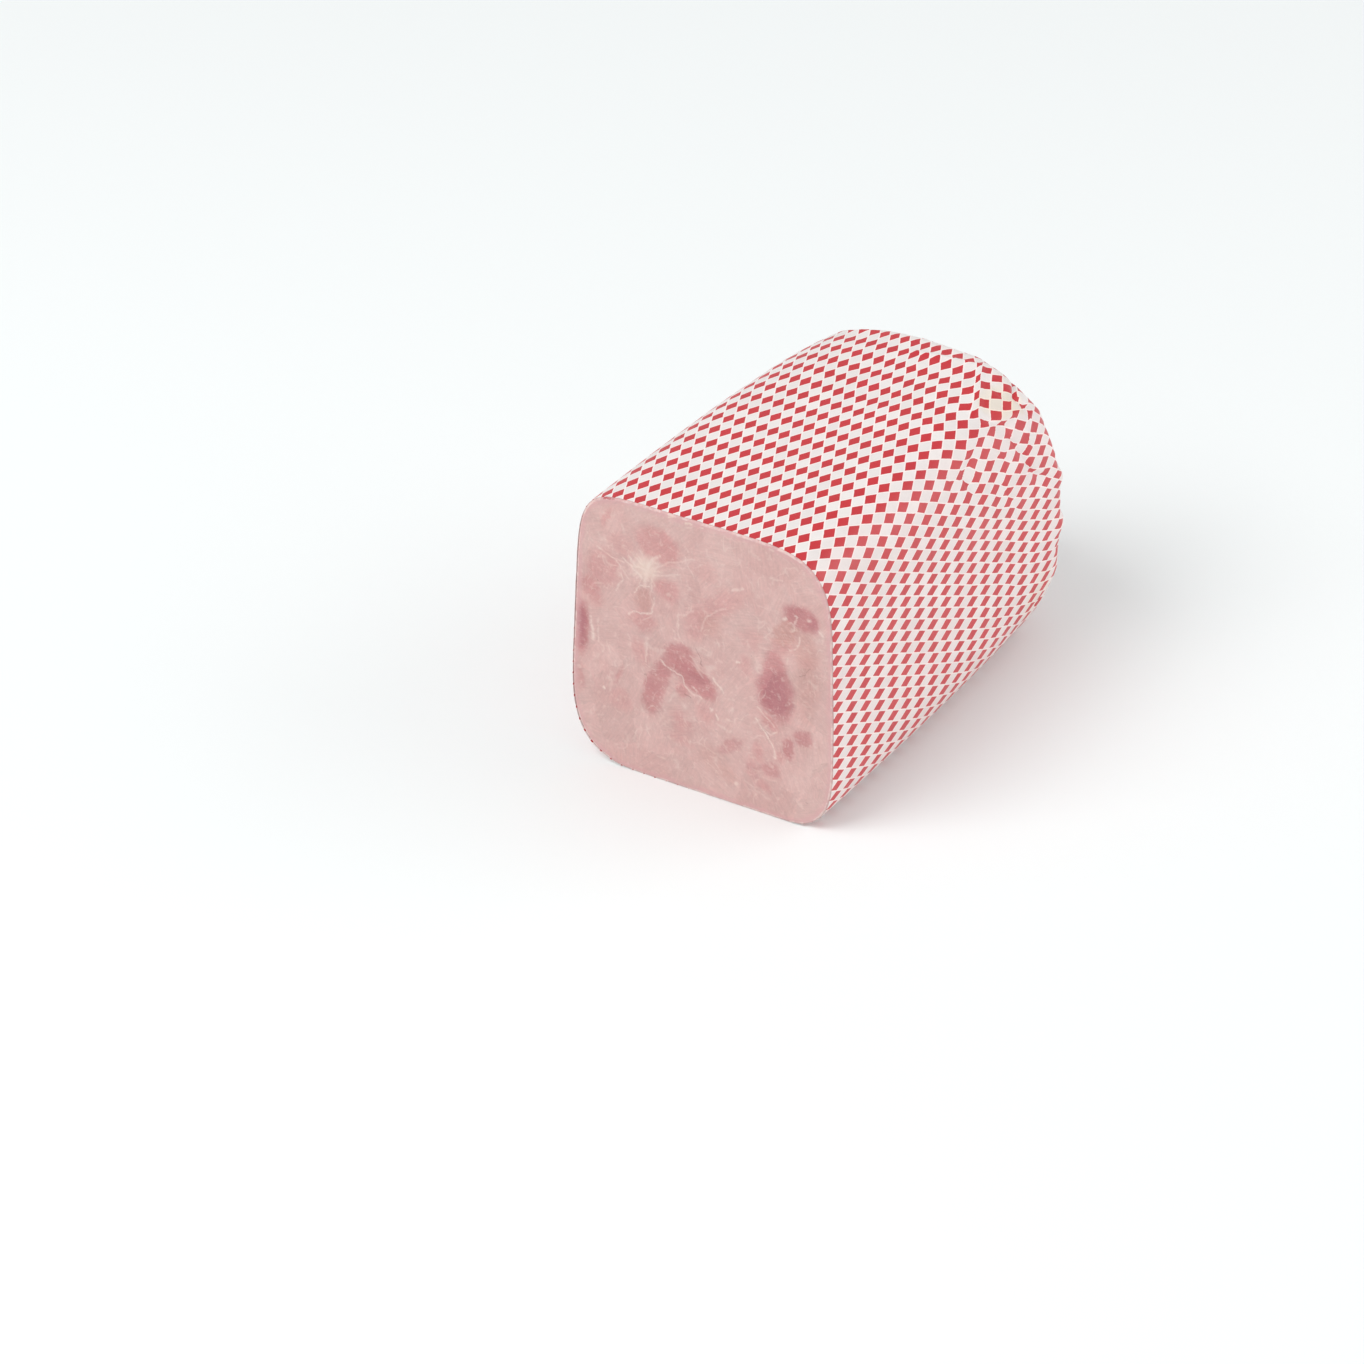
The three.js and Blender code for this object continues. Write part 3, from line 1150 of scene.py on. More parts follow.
@dataclass(frozen=True)
class FilmFinish:
    """Glossy film printed with a red and pearly check, parted by thin pale lines."""

    red: Colour = (0.575, 0.02, 0.03)
    pearl: Colour = (0.83, 0.785, 0.765)
    line: Colour = (0.95, 0.86, 0.83)
    red_reach: float = 0.44
    pale_reach: float = 0.548
    blur: float = 0.009
    edge_cloud: float = 420.0
    edge_wander: float = 0.03
    lozenge_tone: float = 0.07
    mottle: Mottle = Mottle(160.0, 900.0, 0.45)
    mottle_tone: float = 0.16
    # The next five values paint a sheen on the film's sides, as a pinker haze and tint.
    side_sheen: Colour = (0.80, 0.40, 0.41)
    side_sheen_share: float = 0.09
    side_sheen_tint: Colour = (0.995, 0.955, 0.95)
    side_sheen_aside: Pair = (45 * MM, 60 * MM)
    side_sheen_cover: Cloud = Cloud(30.0, 3.0, 0.35, 0.65, 0.6, 1.0)
    cream: Colour = (1.0, 0.955, 0.84)
    cream_patches: tuple[CreamPatch, ...] = (
        CreamPatch(11.4, 8.6, 1.3, 1.0, 0.85),
        CreamPatch(12.3, 9.6, 0.9, 0.5, 0.7),
        CreamPatch(10.2, 10.2, 0.8, 0.6, 0.25),
        CreamPatch(-24.0, 9.0, 2.0, 1.2, 0.5),
        CreamPatch(30.0, 9.5, 2.0, 1.0, 0.5),
    )
    cream_wave: Pair = (90.0, 2.0)
    cream_softness: float = 0.4
    roughness: Cloud = Cloud(260.0, 2.0, 0.3, 0.7, 0.33, 0.45)
    refraction: float = 1.5
    bumps: Bumps = Bumps(0.25, 0.2 * MM)
    bump_cloud: float = 220.0

    def material(self, effects: Effects) -> Material:
        """Builds the finish from the sheet's own print map.

        Args:
            effects: The shared node groups.

        Returns:
            The material.
        """
        material, board, shader = new_material("printed film", effects)
        film = board.add("ShaderNodeUVMap", uv_map="print").outputs["UV"]
        place = board.object_place()
        colour = self._printed(board, film, place)
        # Painted sheen on the sides of the film.
        colour = self._painted_side_sheen(board, place, colour)
        colour = self._creamed(board, film, place, colour)
        board.feed(shader, "Base Color", colour)
        board.feed(shader, "Roughness", self.roughness.over(board, place))
        shader.inputs["IOR"].default_value = self.refraction
        self.bumps.dress(board, shader, board.noise(place, self.bump_cloud, 3.0, 0.5))
        return material

    def _printed(self, board: Board, film: Socket, place: Socket) -> Socket:
        """The print, with no two lozenges quite alike.

        Args:
            board: Where the nodes go.
            film: The place on the print, in repeats.
            place: The place on the piece.

        Returns:
            The print's colour.
        """
        cloud = board.noise(place, self.edge_cloud, 1.0, 0.5, out="Color")
        wander = board.scaled(board.centred(cloud), self.edge_wander)
        feeds = {"Film": board.vector("ADD", film, wander), "Blur": self.blur}
        feeds |= {"Red Reach": self.red_reach, "Pale Reach": self.pale_reach}
        check = board.use(board.effects.lozenges, feeds).outputs
        ground = board.mix(check["Pale"], self.line, self.pearl)
        colour = board.mix(check["Red"], ground, self.red)
        lozenge = board.times(board.math("SUBTRACT", check["Tone"], 0.5), self.lozenge_tone)
        cloudy = board.times(self.mottle.over(board, place), self.mottle_tone)
        return board.lit(colour, board.math("ADD", 1.0, board.math("ADD", lozenge, cloudy)))

    def _painted_side_sheen(self, board: Board, place: Socket, colour: Socket) -> Socket:
        """Painted sheen: the print hazier and pinker on the sides, in place of the film's sheen
        there.

        Args:
            board: Where the nodes go.
            place: The place on the piece.
            colour: The print's colour.

        Returns:
            The colour with the painted sheen.
        """
        aside = board.ramp(board.math("ABSOLUTE", board.parted(place)[0]), *self.side_sheen_aside)
        share = board.times(aside, self.side_sheen_cover.over(board, place))
        sheened = board.mix(board.times(share, self.side_sheen_share), colour, self.side_sheen)
        return board.tint(share, sheened, self.side_sheen_tint, "MULTIPLY")

    def _creamed(self, board: Board, film: Socket, place: Socket, colour: Socket) -> Socket:
        """A few lozenges creamier, most of them on the shoulder.

        Args:
            board: Where the nodes go.
            film: The place on the print, in repeats.
            place: The place on the piece.
            colour: The print's colour.

        Returns:
            The colour with the creamier lozenges.
        """
        scale, reach = self.cream_wave
        cloud = board.noise(place, scale, 2, out="Color")
        ragged = board.vector("ADD", film, board.scaled(board.centred(cloud), reach))
        across, along = board.parted(ragged)[:2]
        flat = board.joined(x=across, z=along)
        for cream in self.cream_patches:
            feeds = {"Place": flat, "Centre": (cream.round, 0.0, cream.along)}
            feeds |= {"Reach": (cream.wide, 1.0, cream.long), "Softness": self.cream_softness}
            mask = board.use(board.effects.patch, feeds).outputs["Mask"]
            colour = board.tint(board.times(mask, cream.strength), colour, self.cream, "MULTIPLY")
        return colour


@dataclass(frozen=True)
class FilmEdgeFinish:
    """The film's cut edge and its unprinted back."""

    colour: Colour = (0.93, 0.82, 0.77)
    darker: Colour = (0.78, 0.52, 0.47)
    mottle: Mottle = Mottle(140.0, 700.0, 0.4)
    roughness: float = 0.35

    def material(self, effects: Effects) -> Material:
        """Builds the finish.

        Args:
            effects: The shared node groups.

        Returns:
            The material.
        """
        material, board, shader = new_material("film edge", effects)
        share = board.math("ADD", 0.5, self.mottle.over(board, board.object_place()))
        board.feed(shader, "Base Color", board.mix(share, self.colour, self.darker))
        shader.inputs["Roughness"].default_value = self.roughness
        return material


@dataclass(frozen=True)
class Patch:
    """An oval of muscle on the cut, in millimetres from the loaf's axis."""

    x: float
    z: float
    half_x: float
    half_z: float
    turn: float
    colour: Colour
    strength: float = 0.8
    softness: float = 0.3


@dataclass(frozen=True)
class Vein:
    """A thread of fat on the cut, through places in millimetres from the loaf's axis."""

    line: tuple[Pair, ...]
    width: float = 0.7
    strength: float = 0.7


FAINT = (0.98, 0.87, 0.88)
ROSE = (0.95, 0.75, 0.77)
BROWN = (0.87, 0.735, 0.71)
DEEP_ROSE = (0.80, 0.53, 0.57)
MAUVE = (0.68, 0.38, 0.46)

MUSCLES: tuple[Patch, ...] = (
    Patch(-20.5, 50.0, 10.5, 8.5, -20, ROSE, 1.0, 0.29),
    Patch(-17.5, 47.5, 7.5, 5.5, -30, ROSE, 0.5, 0.43),
    Patch(-48.0, 31.0, 8.5, 9.0, -10, ROSE, 0.8, 0.36),
    Patch(-54.5, 18.5, 4.2, 7.2, 28, ROSE, 1.0, 0.51),
    Patch(-16.5, 29.5, 6.5, 5.2, 0, ROSE, 0.9, 0.43),
    Patch(-28.5, 21.5, 4.6, 6.4, 0, BROWN, 0.75, 0.36),
    Patch(-29.0, 10.5, 6.5, 4.6, 5, ROSE, 0.85, 0.51),
    Patch(-45.5, 56.5, 1.5, 5.6, -22, ROSE, 0.9, 0.6),
    Patch(-40.0, 45.5, 6.6, 5.0, -20, FAINT, 0.9, 0.58),
    Patch(2.5, 44.5, 5.6, 4.4, -10, FAINT, 0.9, 0.58),
    Patch(-60.2, -1.5, 3.9, 13.0, -4, DEEP_ROSE, 1.0, 0.43),
    Patch(-60.4, -0.5, 2.4, 9.0, -4, MAUVE, 0.8, 0.58),
    Patch(-61.8, -27.0, 2.2, 6.5, 0, ROSE, 0.8, 0.58),
    Patch(-10.8, -1.2, 6.6, 6.6, -30, DEEP_ROSE, 0.95, 0.36),
    Patch(-3.6, -9.6, 12.0, 6.4, -33, DEEP_ROSE, 1.0, 0.29),
    Patch(-4.5, -8.0, 6.5, 2.6, -33, MAUVE, 0.35, 0.6),
    Patch(-22.6, -16.4, 4.8, 9.4, -24, DEEP_ROSE, 0.75, 0.36),
    Patch(-25.4, -24.6, 4.8, 9.2, -8, DEEP_ROSE, 0.85, 0.43),
    Patch(-18.0, -8.4, 4.2, 6.8, -38, DEEP_ROSE, 0.8, 0.4),
    Patch(-10.4, -17.2, 3.2, 3.8, 0, ROSE, 1.0, 0.43),
    Patch(49.4, 35.8, 8.2, 6.2, -5, DEEP_ROSE, 1.0, 0.3),
    Patch(54.8, 34.8, 2.6, 3.8, 10, MAUVE, 0.5, 0.5),
    Patch(46.0, 38.2, 4.0, 2.5, -10, MAUVE, 0.25, 0.6),
    Patch(41.6, 26.4, 5.2, 8.8, -32, BROWN, 1.0, 0.36),
    Patch(40.6, 19.2, 5.0, 3.2, 0, ROSE, 0.7, 0.51),
    Patch(36.2, 6.5, 5.6, 10.0, 0, DEEP_ROSE, 0.9, 0.4),
    Patch(36.5, -3.6, 8.8, 10.8, -2, DEEP_ROSE, 0.95, 0.32),
    Patch(36.8, -5.4, 6.4, 10.8, -2, MAUVE, 0.75, 0.51),
    Patch(39.0, -12.0, 5.4, 6.4, 0, DEEP_ROSE, 0.65, 0.58),
    Patch(30.5, -4.5, 4.0, 8.0, 10, MAUVE, 0.35, 0.6),
    Patch(33.0, -19.4, 2.6, 5.4, 48, ROSE, 0.9, 0.51),
    Patch(42.2, -29.4, 2.7, 5.6, 2, DEEP_ROSE, 0.9, 0.41),
    Patch(49.4, -22.2, 4.6, 3.9, 10, DEEP_ROSE, 0.8, 0.43),
    Patch(13.2, -37.4, 7.6, 3.0, 40, DEEP_ROSE, 0.6, 0.41),
    Patch(24.0, -45.6, 3.5, 4.2, 0, DEEP_ROSE, 0.45, 0.58),
    Patch(32.8, -42.6, 4.8, 4.0, 8, DEEP_ROSE, 0.65, 0.51),
    Patch(27.2, -35.6, 2.5, 4.5, -8, ROSE, 0.7, 0.6),
    Patch(38.0, -34.4, 2.4, 2.8, 0, ROSE, 0.7, 0.58),
    Patch(29.8, -51.8, 4.2, 2.0, -28, ROSE, 0.7, 0.58),
    Patch(21.8, 5.0, 3.2, 5.0, 0, ROSE, 0.6, 0.6),
    Patch(8.8, 29.4, 15.5, 5.0, 40, ROSE, 0.65, 0.58),
    Patch(3.8, 18.8, 6.0, 5.6, 0, BROWN, 0.7, 0.51),
    Patch(-3.6, 16.6, 4.6, 7.6, 0, ROSE, 0.65, 0.58),
    Patch(51.0, 20.5, 6.0, 9.0, 0, BROWN, 0.75, 0.5),
    Patch(52.0, 5.0, 6.0, 10.0, 0, BROWN, 0.7, 0.6),
    Patch(50.5, -8.0, 4.5, 8.0, 0, BROWN, 0.4, 0.6),
    Patch(24.6, 18.2, 5.6, 5.4, 0, FAINT, 0.9, 0.6),
    Patch(-30.6, -5.0, 4.2, 6.2, 6, ROSE, 0.65, 0.51),
    Patch(-42.0, -19.5, 1.3, 5.6, -22, ROSE, 0.7, 0.6),
    Patch(-41.2, -32.2, 5.8, 5.6, 0, FAINT, 1.0, 0.51),
    Patch(-10.8, -33.4, 4.8, 5.8, 20, ROSE, 0.7, 0.51),
    Patch(-11.6, -42.0, 5.4, 2.8, -10, FAINT, 1.0, 0.58),
    Patch(1.2, -25.6, 4.2, 4.0, 0, FAINT, 0.9, 0.6),
    Patch(4.4, -47.2, 8.0, 5.8, -20, BROWN, 0.45, 0.58),
    Patch(12.6, -52.6, 4.6, 3.6, -12, BROWN, 0.45, 0.58),
)

VEINS: tuple[Vein, ...] = (
    Vein(
        ((-51.0, 40.2), (-46.5, 38.8), (-42.4, 37.2), (-39.6, 33.4), (-39.0, 28.5), (-42.0, 22.0)),
        0.75, 0.55,
    ),
    Vein(((-42.4, 37.2), (-37.5, 36.5)), 0.72, 0.41),
    Vein(((-39.6, 33.4), (-40.5, 30.0)), 2, 0.29),
    Vein(((-32.8, 23.2), (-29.8, 27.4), (-25.4, 28.4)), 0.65, 0.57),
    Vein(((-23.0, 23.6), (-24.2, 18.4), (-24.8, 16.2)), 0.72, 0.49),
    Vein(((-36.2, 12.0), (-34.2, 14.0), (-30.2, 14.0), (-24.8, 16.2)), 0.8, 0.57),
    Vein(((-56.0, 5.0), (-54.8, 0.0), (-54.6, -6.0)), 1.3, 0.66),
    Vein(((-52.0, 5.0), (-51.6, -6.0)), 0.87, 0.33),
    Vein(((-37.4, 38.8), (-34.4, 36.8), (-30.4, 33.2), (-28.8, 32.0)), 0.87, 0.57),
    Vein(((-35.0, 41.2), (-32.4, 37.4), (-26.8, 35.6)), 0.87, 0.53),
    Vein(((-31.6, 40.6), (-28.0, 38.0)), 0.72, 0.49),
    Vein(((-26.0, 37.4), (-23.6, 42.6), (-20.0, 45.0)), 1.3, 0.57),
    Vein(((-24.0, 37.2), (-18.0, 42.0), (-13.6, 44.2), (-2.4, 48.4)), 0.87, 0.33),
    Vein(((-23.0, 35.4), (-15.4, 37.0), (-9.6, 39.6)), 0.87, 0.33),
    Vein(((-26.4, 36.4), (-27.0, 32.0), (-27.6, 28.0)), 1.6, 0.49),
    Vein(((-23.2, 34.6), (-24.4, 28.0)), 1, 0.37),
    Vein(((-11.4, 20.2), (-11.6, 11.0), (-11.2, 7.8), (-9.6, 5.8)), 0.7, 0.35),
    Vein(((-0.2, 15.4), (2.4, 22.4), (8.8, 27.4), (12.4, 29.0)), 0.7, 0.3),
    Vein(((15.8, 39.2), (19.0, 40.6), (21.2, 41.6)), 1.2, 0.53),
    Vein(((34.2, 51.0), (40.0, 51.4)), 1, 0.41),
    Vein(((48.8, 27.2), (46.6, 20.6), (42.8, 18.4)), 0.65, 0.5),
    Vein(((57.4, 32.6), (59.8, 30.2)), 0.72, 0.57),
    Vein(((5.4, -6.4), (10.2, -11.8)), 0.87, 0.61),
    Vein(
        ((-20.8, -6.0), (-15.0, -9.0), (-10.4, -10.6), (-8.8, -14.6), (-4.6, -17.6), (-0.6, -18.4)),
        0.65, 0.6,
    ),
    Vein(((-4.6, -13.8), (-2.4, -15.6)), 0.72, 0.57),
    Vein(((-27.6, 1.2), (-28.2, -9.0)), 0.72, 0.41),
    Vein(((27.6, -13.4), (31.8, -17.2), (35.2, -21.0)), 0.72, 0.45),
    Vein(((26.6, -19.6), (30.4, -23.6), (33.2, -28.6), (34.8, -33.0), (35.8, -36.2)), 0.85, 0.7),
    Vein(((29.0, -22.4), (33.8, -25.4), (36.0, -22.8)), 0.72, 0.57),
    Vein(((-7.0, -41.8), (0.2, -41.6), (8.8, -44.6)), 0.87, 0.25),
    Vein(((20.0, -52.2), (27.0, -56.4), (32.6, -58.0)), 0.87, 0.25),
    Vein(((-49.8, -28.6), (-49.4, -28.8)), 1.3, 0.82),
    Vein(((3.8, -22.2), (4.2, -22.6)), 1.4, 0.74),
    Vein(((6.6, -23.6), (7.4, -26.0)), 0.87, 0.66),
    Vein(((15.8, -54.8), (16.2, -55.2)), 1.4, 0.66),
    Vein(((17.8, 5.6), (18.6, 5.8)), 1.2, 0.74),
    Vein(((52.2, 36.0), (53.2, 36.4)), 1.3, 0.66),
    Vein(((40.8, 33.2), (41.8, 33.8)), 1.4, 0.66),
    Vein(((46.4, 36.4), (47.0, 35.8), (46.4, 32.8)), 0.87, 0.49),
    Vein(((33.6, 26.0), (34.2, 26.0)), 1.6, 0.41),
    Vein(((14.4, -18.6), (14.8, -18.4)), 1.3, 0.49),
)

FLAKES: tuple[Vein, ...] = (
    Vein(((-14.8, 65.4), (-12.6, 65.6)), 0.8, 0.55),
    Vein(((-6.0, 64.9), (-4.6, 65.3), (-3.4, 65.0)), 0.9, 0.6),
    Vein(((0.4, 64.2), (1.6, 64.5)), 0.7, 0.5),
    Vein(((34.0, 64.6), (36.0, 64.3)), 0.7, 0.35),
    Vein(((-62.6, 32.0), (-62.5, 26.0)), 0.9, 0.35),
)

SMEARS: tuple[Vein, ...] = (
    Vein(((-47.0, 64.9), (-43.6, 65.3)), 0.75, 0.75),
    Vein(((-42.6, 65.3), (-41.6, 65.6)), 0.5, 0.5),
)

CRACKS: tuple[Vein, ...] = (
    Vein(((-3.0, 5.4), (-1.4, 2.2), (0.4, -2.0)), 0.45, 0.5),
    Vein(((47.6, 8.4), (50.4, 9.6), (53.2, 13.4)), 0.45, 0.45),
    Vein(((-9.5, -18.8), (-6.0, -19.6)), 0.5, 0.5),
    Vein(((30.0, -22.6), (33.0, -26.6)), 0.4, 0.35),
    Vein(((2.6, -7.0), (3.4, -9.6)), 0.4, 0.4),
    Vein(((-28.8, -15.2), (-28.2, -15.4)), 0.8, 0.5),
    Vein(((50.4, -53.2), (50.6, -53.4)), 0.55, 0.8),
    Vein(((-51.0, 23.8), (-51.2, 24.0)), 0.45, 0.8),
)


@dataclass(frozen=True)
class FatStar:
    """A star of fat on the cut: a soft core, with streaks that run out of it."""

    centre: Pair = (-26.8, 36.8)
    inner: float = 1.0
    core: float = 9.0
    core_strength: float = 0.55
    halo: float = 12.0
    halo_strength: float = 0.7
    streaks_round: float = 2.2
    streaks_outwards: float = 0.09
    streaks: Cloud = Cloud(2.4, 3.0, 0.5, 0.62)

    def mask(self, board: Board, frayed: Socket) -> Socket:
        """How much of the star shows at a place.

        Args:
            board: Where the nodes go.
            frayed: The place on the cut, moved about so that the streaks wander.

        Returns:
            The mask.
        """
        offset = board.vector("SUBTRACT", frayed, (self.centre[0], 0.0, self.centre[1]))
        across, _, up = board.parted(offset)
        angle = board.math("ARCTAN2", up, across)
        away = board.vector("LENGTH", offset, out="Value")
        ring = board.joined(
            board.times(board.math("COSINE", angle), self.streaks_round),
            board.times(board.math("SINE", angle), self.streaks_round),
            board.times(away, self.streaks_outwards),
        )
        halo = board.ramp(away, self.inner, self.halo, self.halo_strength, 0.0)
        core = board.ramp(away, self.inner, self.core, self.core_strength, 0.0)
        return board.math("MAXIMUM", board.times(self.streaks.over(board, ring), halo), core)


@dataclass(frozen=True)
class Wisp:
    """A net of wandering threads: how close it lies, its threads' width and their strength."""

    scale: float
    width: float
    strength: float


@dataclass(frozen=True)
class Speck:
    """Round spots: how close they lie, how few show, their core and reach, their strength."""

    scale: float
    fewness: float
    core: float
    reach: float
    strength: float


@dataclass(frozen=True)
class MeatFinish:
    """Moist pressed ham: pale pink, with darker muscle, threads of fat and small pores."""

    pale: Colour = (0.645, 0.43, 0.40)
    warm: Colour = (0.615, 0.375, 0.352)
    jelly_highlight: Colour = (0.80, 0.62, 0.58)
    # Jelly at the rim; its pale band is partly a painted highlight on the rounded edge.
    smear: Colour = (0.45, 0.03, 0.05)
    fat: Colour = (0.80, 0.64, 0.575)
    star_fat: Colour = (0.80, 0.66, 0.56)
    pore: Colour = (0.30, 0.16, 0.15)
    rim: Colour = (0.66, 0.365, 0.375)
    axis: Pair = (0.0, 0.0)
    bent: tuple[Pair, ...] = ((0.055, 5.0), (0.2, 4.0))
    ragged: tuple[Pair, ...] = ((0.14, 4.0), (0.4, 2.4), (1.2, 1.1))
    frayed: tuple[Pair, ...] = ((0.12, 2.6), (0.4, 1.6), (1.6, 0.7))
    wave_detail: float = 1.5
    piece_scale: float = 0.058
    piece_tone: float = 0.1
    piece_lie: float = 3.1
    warmth: Cloud = Cloud(0.035, 3.0, 0.35, 0.65, warp=0.6)
    warmth_shares: Pair = (0.6, 0.5)
    fibre_stretch: Triple = (0.16, 0.3, 1.5)
    fibre_tone: float = 0.26
    mottle: Mottle = Mottle(0.22, 0.9, 0.5)
    mottle_tone: float = 0.36
    muscle_lie: float = -42.0
    muscle_stretch: Triple = (0.25, 1.0, 1.5)
    muscle_fibres: Cloud = Cloud(0.9, 3.0, 0.3, 0.7, 0.8, 1.0)
    star: FatStar = FatStar()
    wisps: tuple[Wisp, ...] = (
        Wisp(0.075, 0.03, 0.3),
        Wisp(0.16, 0.05, 0.26),
        Wisp(0.36, 0.09, 0.18),
    )
    broken: Cloud = Cloud(0.55, 3.0, 0.34, 0.54, 0.35, 1.0)
    specks: tuple[Speck, ...] = (
        Speck(0.13, 0.74, 0.024, 0.06, 0.6),
        Speck(0.38, 0.7, 0.048, 0.12, 0.3),
    )
    pores: Speck = Speck(0.16, 0.64, 0.02, 0.055, 0.75)
    rim_width: float = 3.2
    rim_wander: float = 4.0
    rim_strength: float = 0.6
    jelly_highlight_width: float = 0.4
    jelly_highlight_cover: Cloud = Cloud(0.3, 2.0, 0.42, 0.62, 0.1, 0.75)
    wetness: Cloud = Cloud(0.12, 4.0, 0.35, 0.65, 0.4, 0.56)
    depth_weight: float = 0.12
    depth_radius: Triple = (1.0, 0.45, 0.35)
    bumps: Bumps = Bumps(0.35, 0.2 * MM)

    def material(self, effects: Effects) -> Material:
        """Builds the finish on the plane of the cut, in millimetres.

        Args:
            effects: The shared node groups.

        Returns:
            The material.
        """
        material, board, shader = new_material("pressed ham", effects)
        across, up = self.axis
        feeds = {"Vector": board.object_place(), "Location": (-across / MM, 0.0, -up / MM)}
        feeds["Scale"] = (1 / MM, 1 / MM, 1 / MM)
        solid = board.add("ShaderNodeMapping", feeds).outputs["Vector"]
        in_cut = (1.0, 0.0, 1.0)
        flat = board.vector("MULTIPLY", solid, in_cut)
        bent = board.moved(solid, self.bent, self.wave_detail)
        ragged = board.vector("MULTIPLY", board.moved(flat, self.ragged, self.wave_detail), in_cut)
        frayed = board.vector("MULTIPLY", board.moved(flat, self.frayed, self.wave_detail), in_cut)
        broken = self.broken.over(board, flat)
        colour = self._ground(board, solid, bent)
        colour = self._muscles(board, ragged, flat, colour)
        colour = board.mix(self.star.mask(board, frayed), colour, self.star_fat)
        colour = self._wisps(board, solid, colour)
        for veins, tint in ((VEINS, self.fat), (CRACKS, self.pore)):
            mask = self._threads(board, frayed, veins)
            colour = board.mix(board.times(mask, broken), colour, tint)
        for spots in self.specks:
            colour = self._specked(board, solid, colour, spots, self.fat)
        colour = self._specked(board, solid, colour, self.pores, self.pore)
        colour = self._rim(board, solid, colour)
        for veins, tint in ((FLAKES, self.star_fat), (SMEARS, self.smear)):
            colour = board.mix(self._threads(board, frayed, veins), colour, tint)
        board.feed(shader, "Base Color", colour)
        shader.inputs["Subsurface Weight"].default_value = self.depth_weight
        shader.inputs["Subsurface Radius"].default_value = self.depth_radius
        shader.inputs["Subsurface Scale"].default_value = MM
        board.feed(shader, "Roughness", self.wetness.over(board, solid))
        grain = board.math("ADD", board.noise(solid, 1.1, 4, 0.6), board.noise(solid, 0.35, 2))
        self.bumps.dress(board, shader, grain)
        return material

    def _ground(self, board: Board, solid: Socket, bent: Socket) -> Socket:
        """The pale meat: pieces of slightly different tone, pressed together.

        Args:
            board: Where the nodes go.
            solid: The place in the meat.
            bent: The same, moved about so that the pieces' edges wander.

        Returns:
            The pale meat's colour.
        """
        feeds = {"Vector": bent, "Scale": self.piece_scale}
        pieces = board.add("ShaderNodeTexVoronoi", feeds).outputs["Color"]
        share, tone, lie = board.add("ShaderNodeSeparateColor", {0: pieces}).outputs[:3]
        broad, own = self.warmth_shares
        broad = board.times(self.warmth.over(board, solid), broad)
        warmth = board.math("ADD", broad, board.times(share, own))
        colour = board.mix(warmth, self.pale, self.warm)
        colour = board.shaded(colour, board.math("SUBTRACT", tone, 0.5), self.piece_tone)
        turned = board.turned(solid, board.times(lie, self.piece_lie))
        fibres = board.noise(board.vector("MULTIPLY", turned, self.fibre_stretch), 1.0, 3)
        colour = board.shaded(colour, board.math("SUBTRACT", fibres, 0.5), self.fibre_tone)
        return board.shaded(colour, self.mottle.over(board, solid), self.mottle_tone)

    def _muscles(self, board: Board, ragged: Socket, flat: Socket, colour: Socket) -> Socket:
        """The darker pieces of muscle, with fibres in them.

        Args:
            board: Where the nodes go.
            ragged: The place on the cut, moved about so that the pieces' edges wander.
            flat: The place on the cut.
            colour: The pale meat's colour.

        Returns:
            The colour with the muscle.
        """
        lie = {"Vector": flat, "Rotation": (0.0, math.radians(self.muscle_lie), 0.0)}
        lie["Scale"] = self.muscle_stretch
        along = board.add("ShaderNodeMapping", lie).outputs["Vector"]
        fibres = self.muscle_fibres.over(board, along)
        total: object = (1.0, 1.0, 1.0)
        for patch in MUSCLES:
            feeds = {
                "Place": ragged,
                "Centre": (patch.x, 0.0, patch.z),
                "Reach": (patch.half_x, 1.0, patch.half_z),
                "Turn": math.radians(patch.turn),
                "Softness": patch.softness,
            }
            mask = board.use(board.effects.patch, feeds).outputs["Mask"]
            factor = board.times(board.times(mask, patch.strength), fibres)
            total = board.tint(factor, total, patch.colour, "DARKEN")
        return board.tint(1.0, colour, total, "MULTIPLY")

    def _wisps(self, board: Board, solid: Socket, colour: Socket) -> Socket:
        """Thin wandering threads all over the meat, each a short part of a longer line.

        Args:
            board: Where the nodes go.
            solid: The place in the meat.
            colour: What the threads lie on.

        Returns:
            The colour with the threads.
        """
        for wisp in self.wisps:
            cloud = board.noise(solid, wisp.scale, 1.2, warp=0.8)
            line = board.math("ABSOLUTE", board.math("SUBTRACT", cloud, 0.5))
            thread = board.ramp(line, 0.0, wisp.width, wisp.strength, 0.0)
            shown = Cloud(wisp.scale * 1.3 + 0.017, 2.0, 0.5, 0.64).over(board, solid)
            colour = board.mix(board.times(thread, shown), colour, self.fat)
        return colour

    @staticmethod
    def _threads(board: Board, frayed: Socket, veins: Sequence[Vein]) -> Socket:
        """A mask of threads.

        Args:
            board: Where the nodes go.
            frayed: The place on the cut, moved about so that the threads wander.
            veins: The threads.

        Returns:
            The mask.
        """
        total: object = 0.0
        for vein in veins:
            for start, end in zip(vein.line, vein.line[1:]):
                feeds = {"Place": frayed, "Width": vein.width}
                feeds |= {"Start": (start[0], 0.0, start[1]), "End": (end[0], 0.0, end[1])}
                mask = board.use(board.effects.vein, feeds).outputs["Mask"]
                total = board.math("MAXIMUM", total, board.times(mask, vein.strength))
        return total

    @staticmethod
    def _specked(board: Board, solid: Socket, colour: Socket, spots: Speck, tint: Colour) -> Socket:
        """Small round spots of a colour, strewn over another.

        Args:
            board: Where the nodes go.
            solid: The place in the meat.
            colour: What the spots lie on.
            spots: Their size and number.
            tint: Their colour.

        Returns:
            The colour with the spots.
        """
        cells = board.add("ShaderNodeTexVoronoi", {"Vector": solid, "Scale": spots.scale}).outputs
        chosen = board.ramp(cells["Color"], spots.fewness, spots.fewness + 0.04)
        dot = board.ramp(cells["Distance"], spots.core, spots.reach, spots.strength, 0.0)
        return board.mix(board.times(dot, chosen), colour, tint)

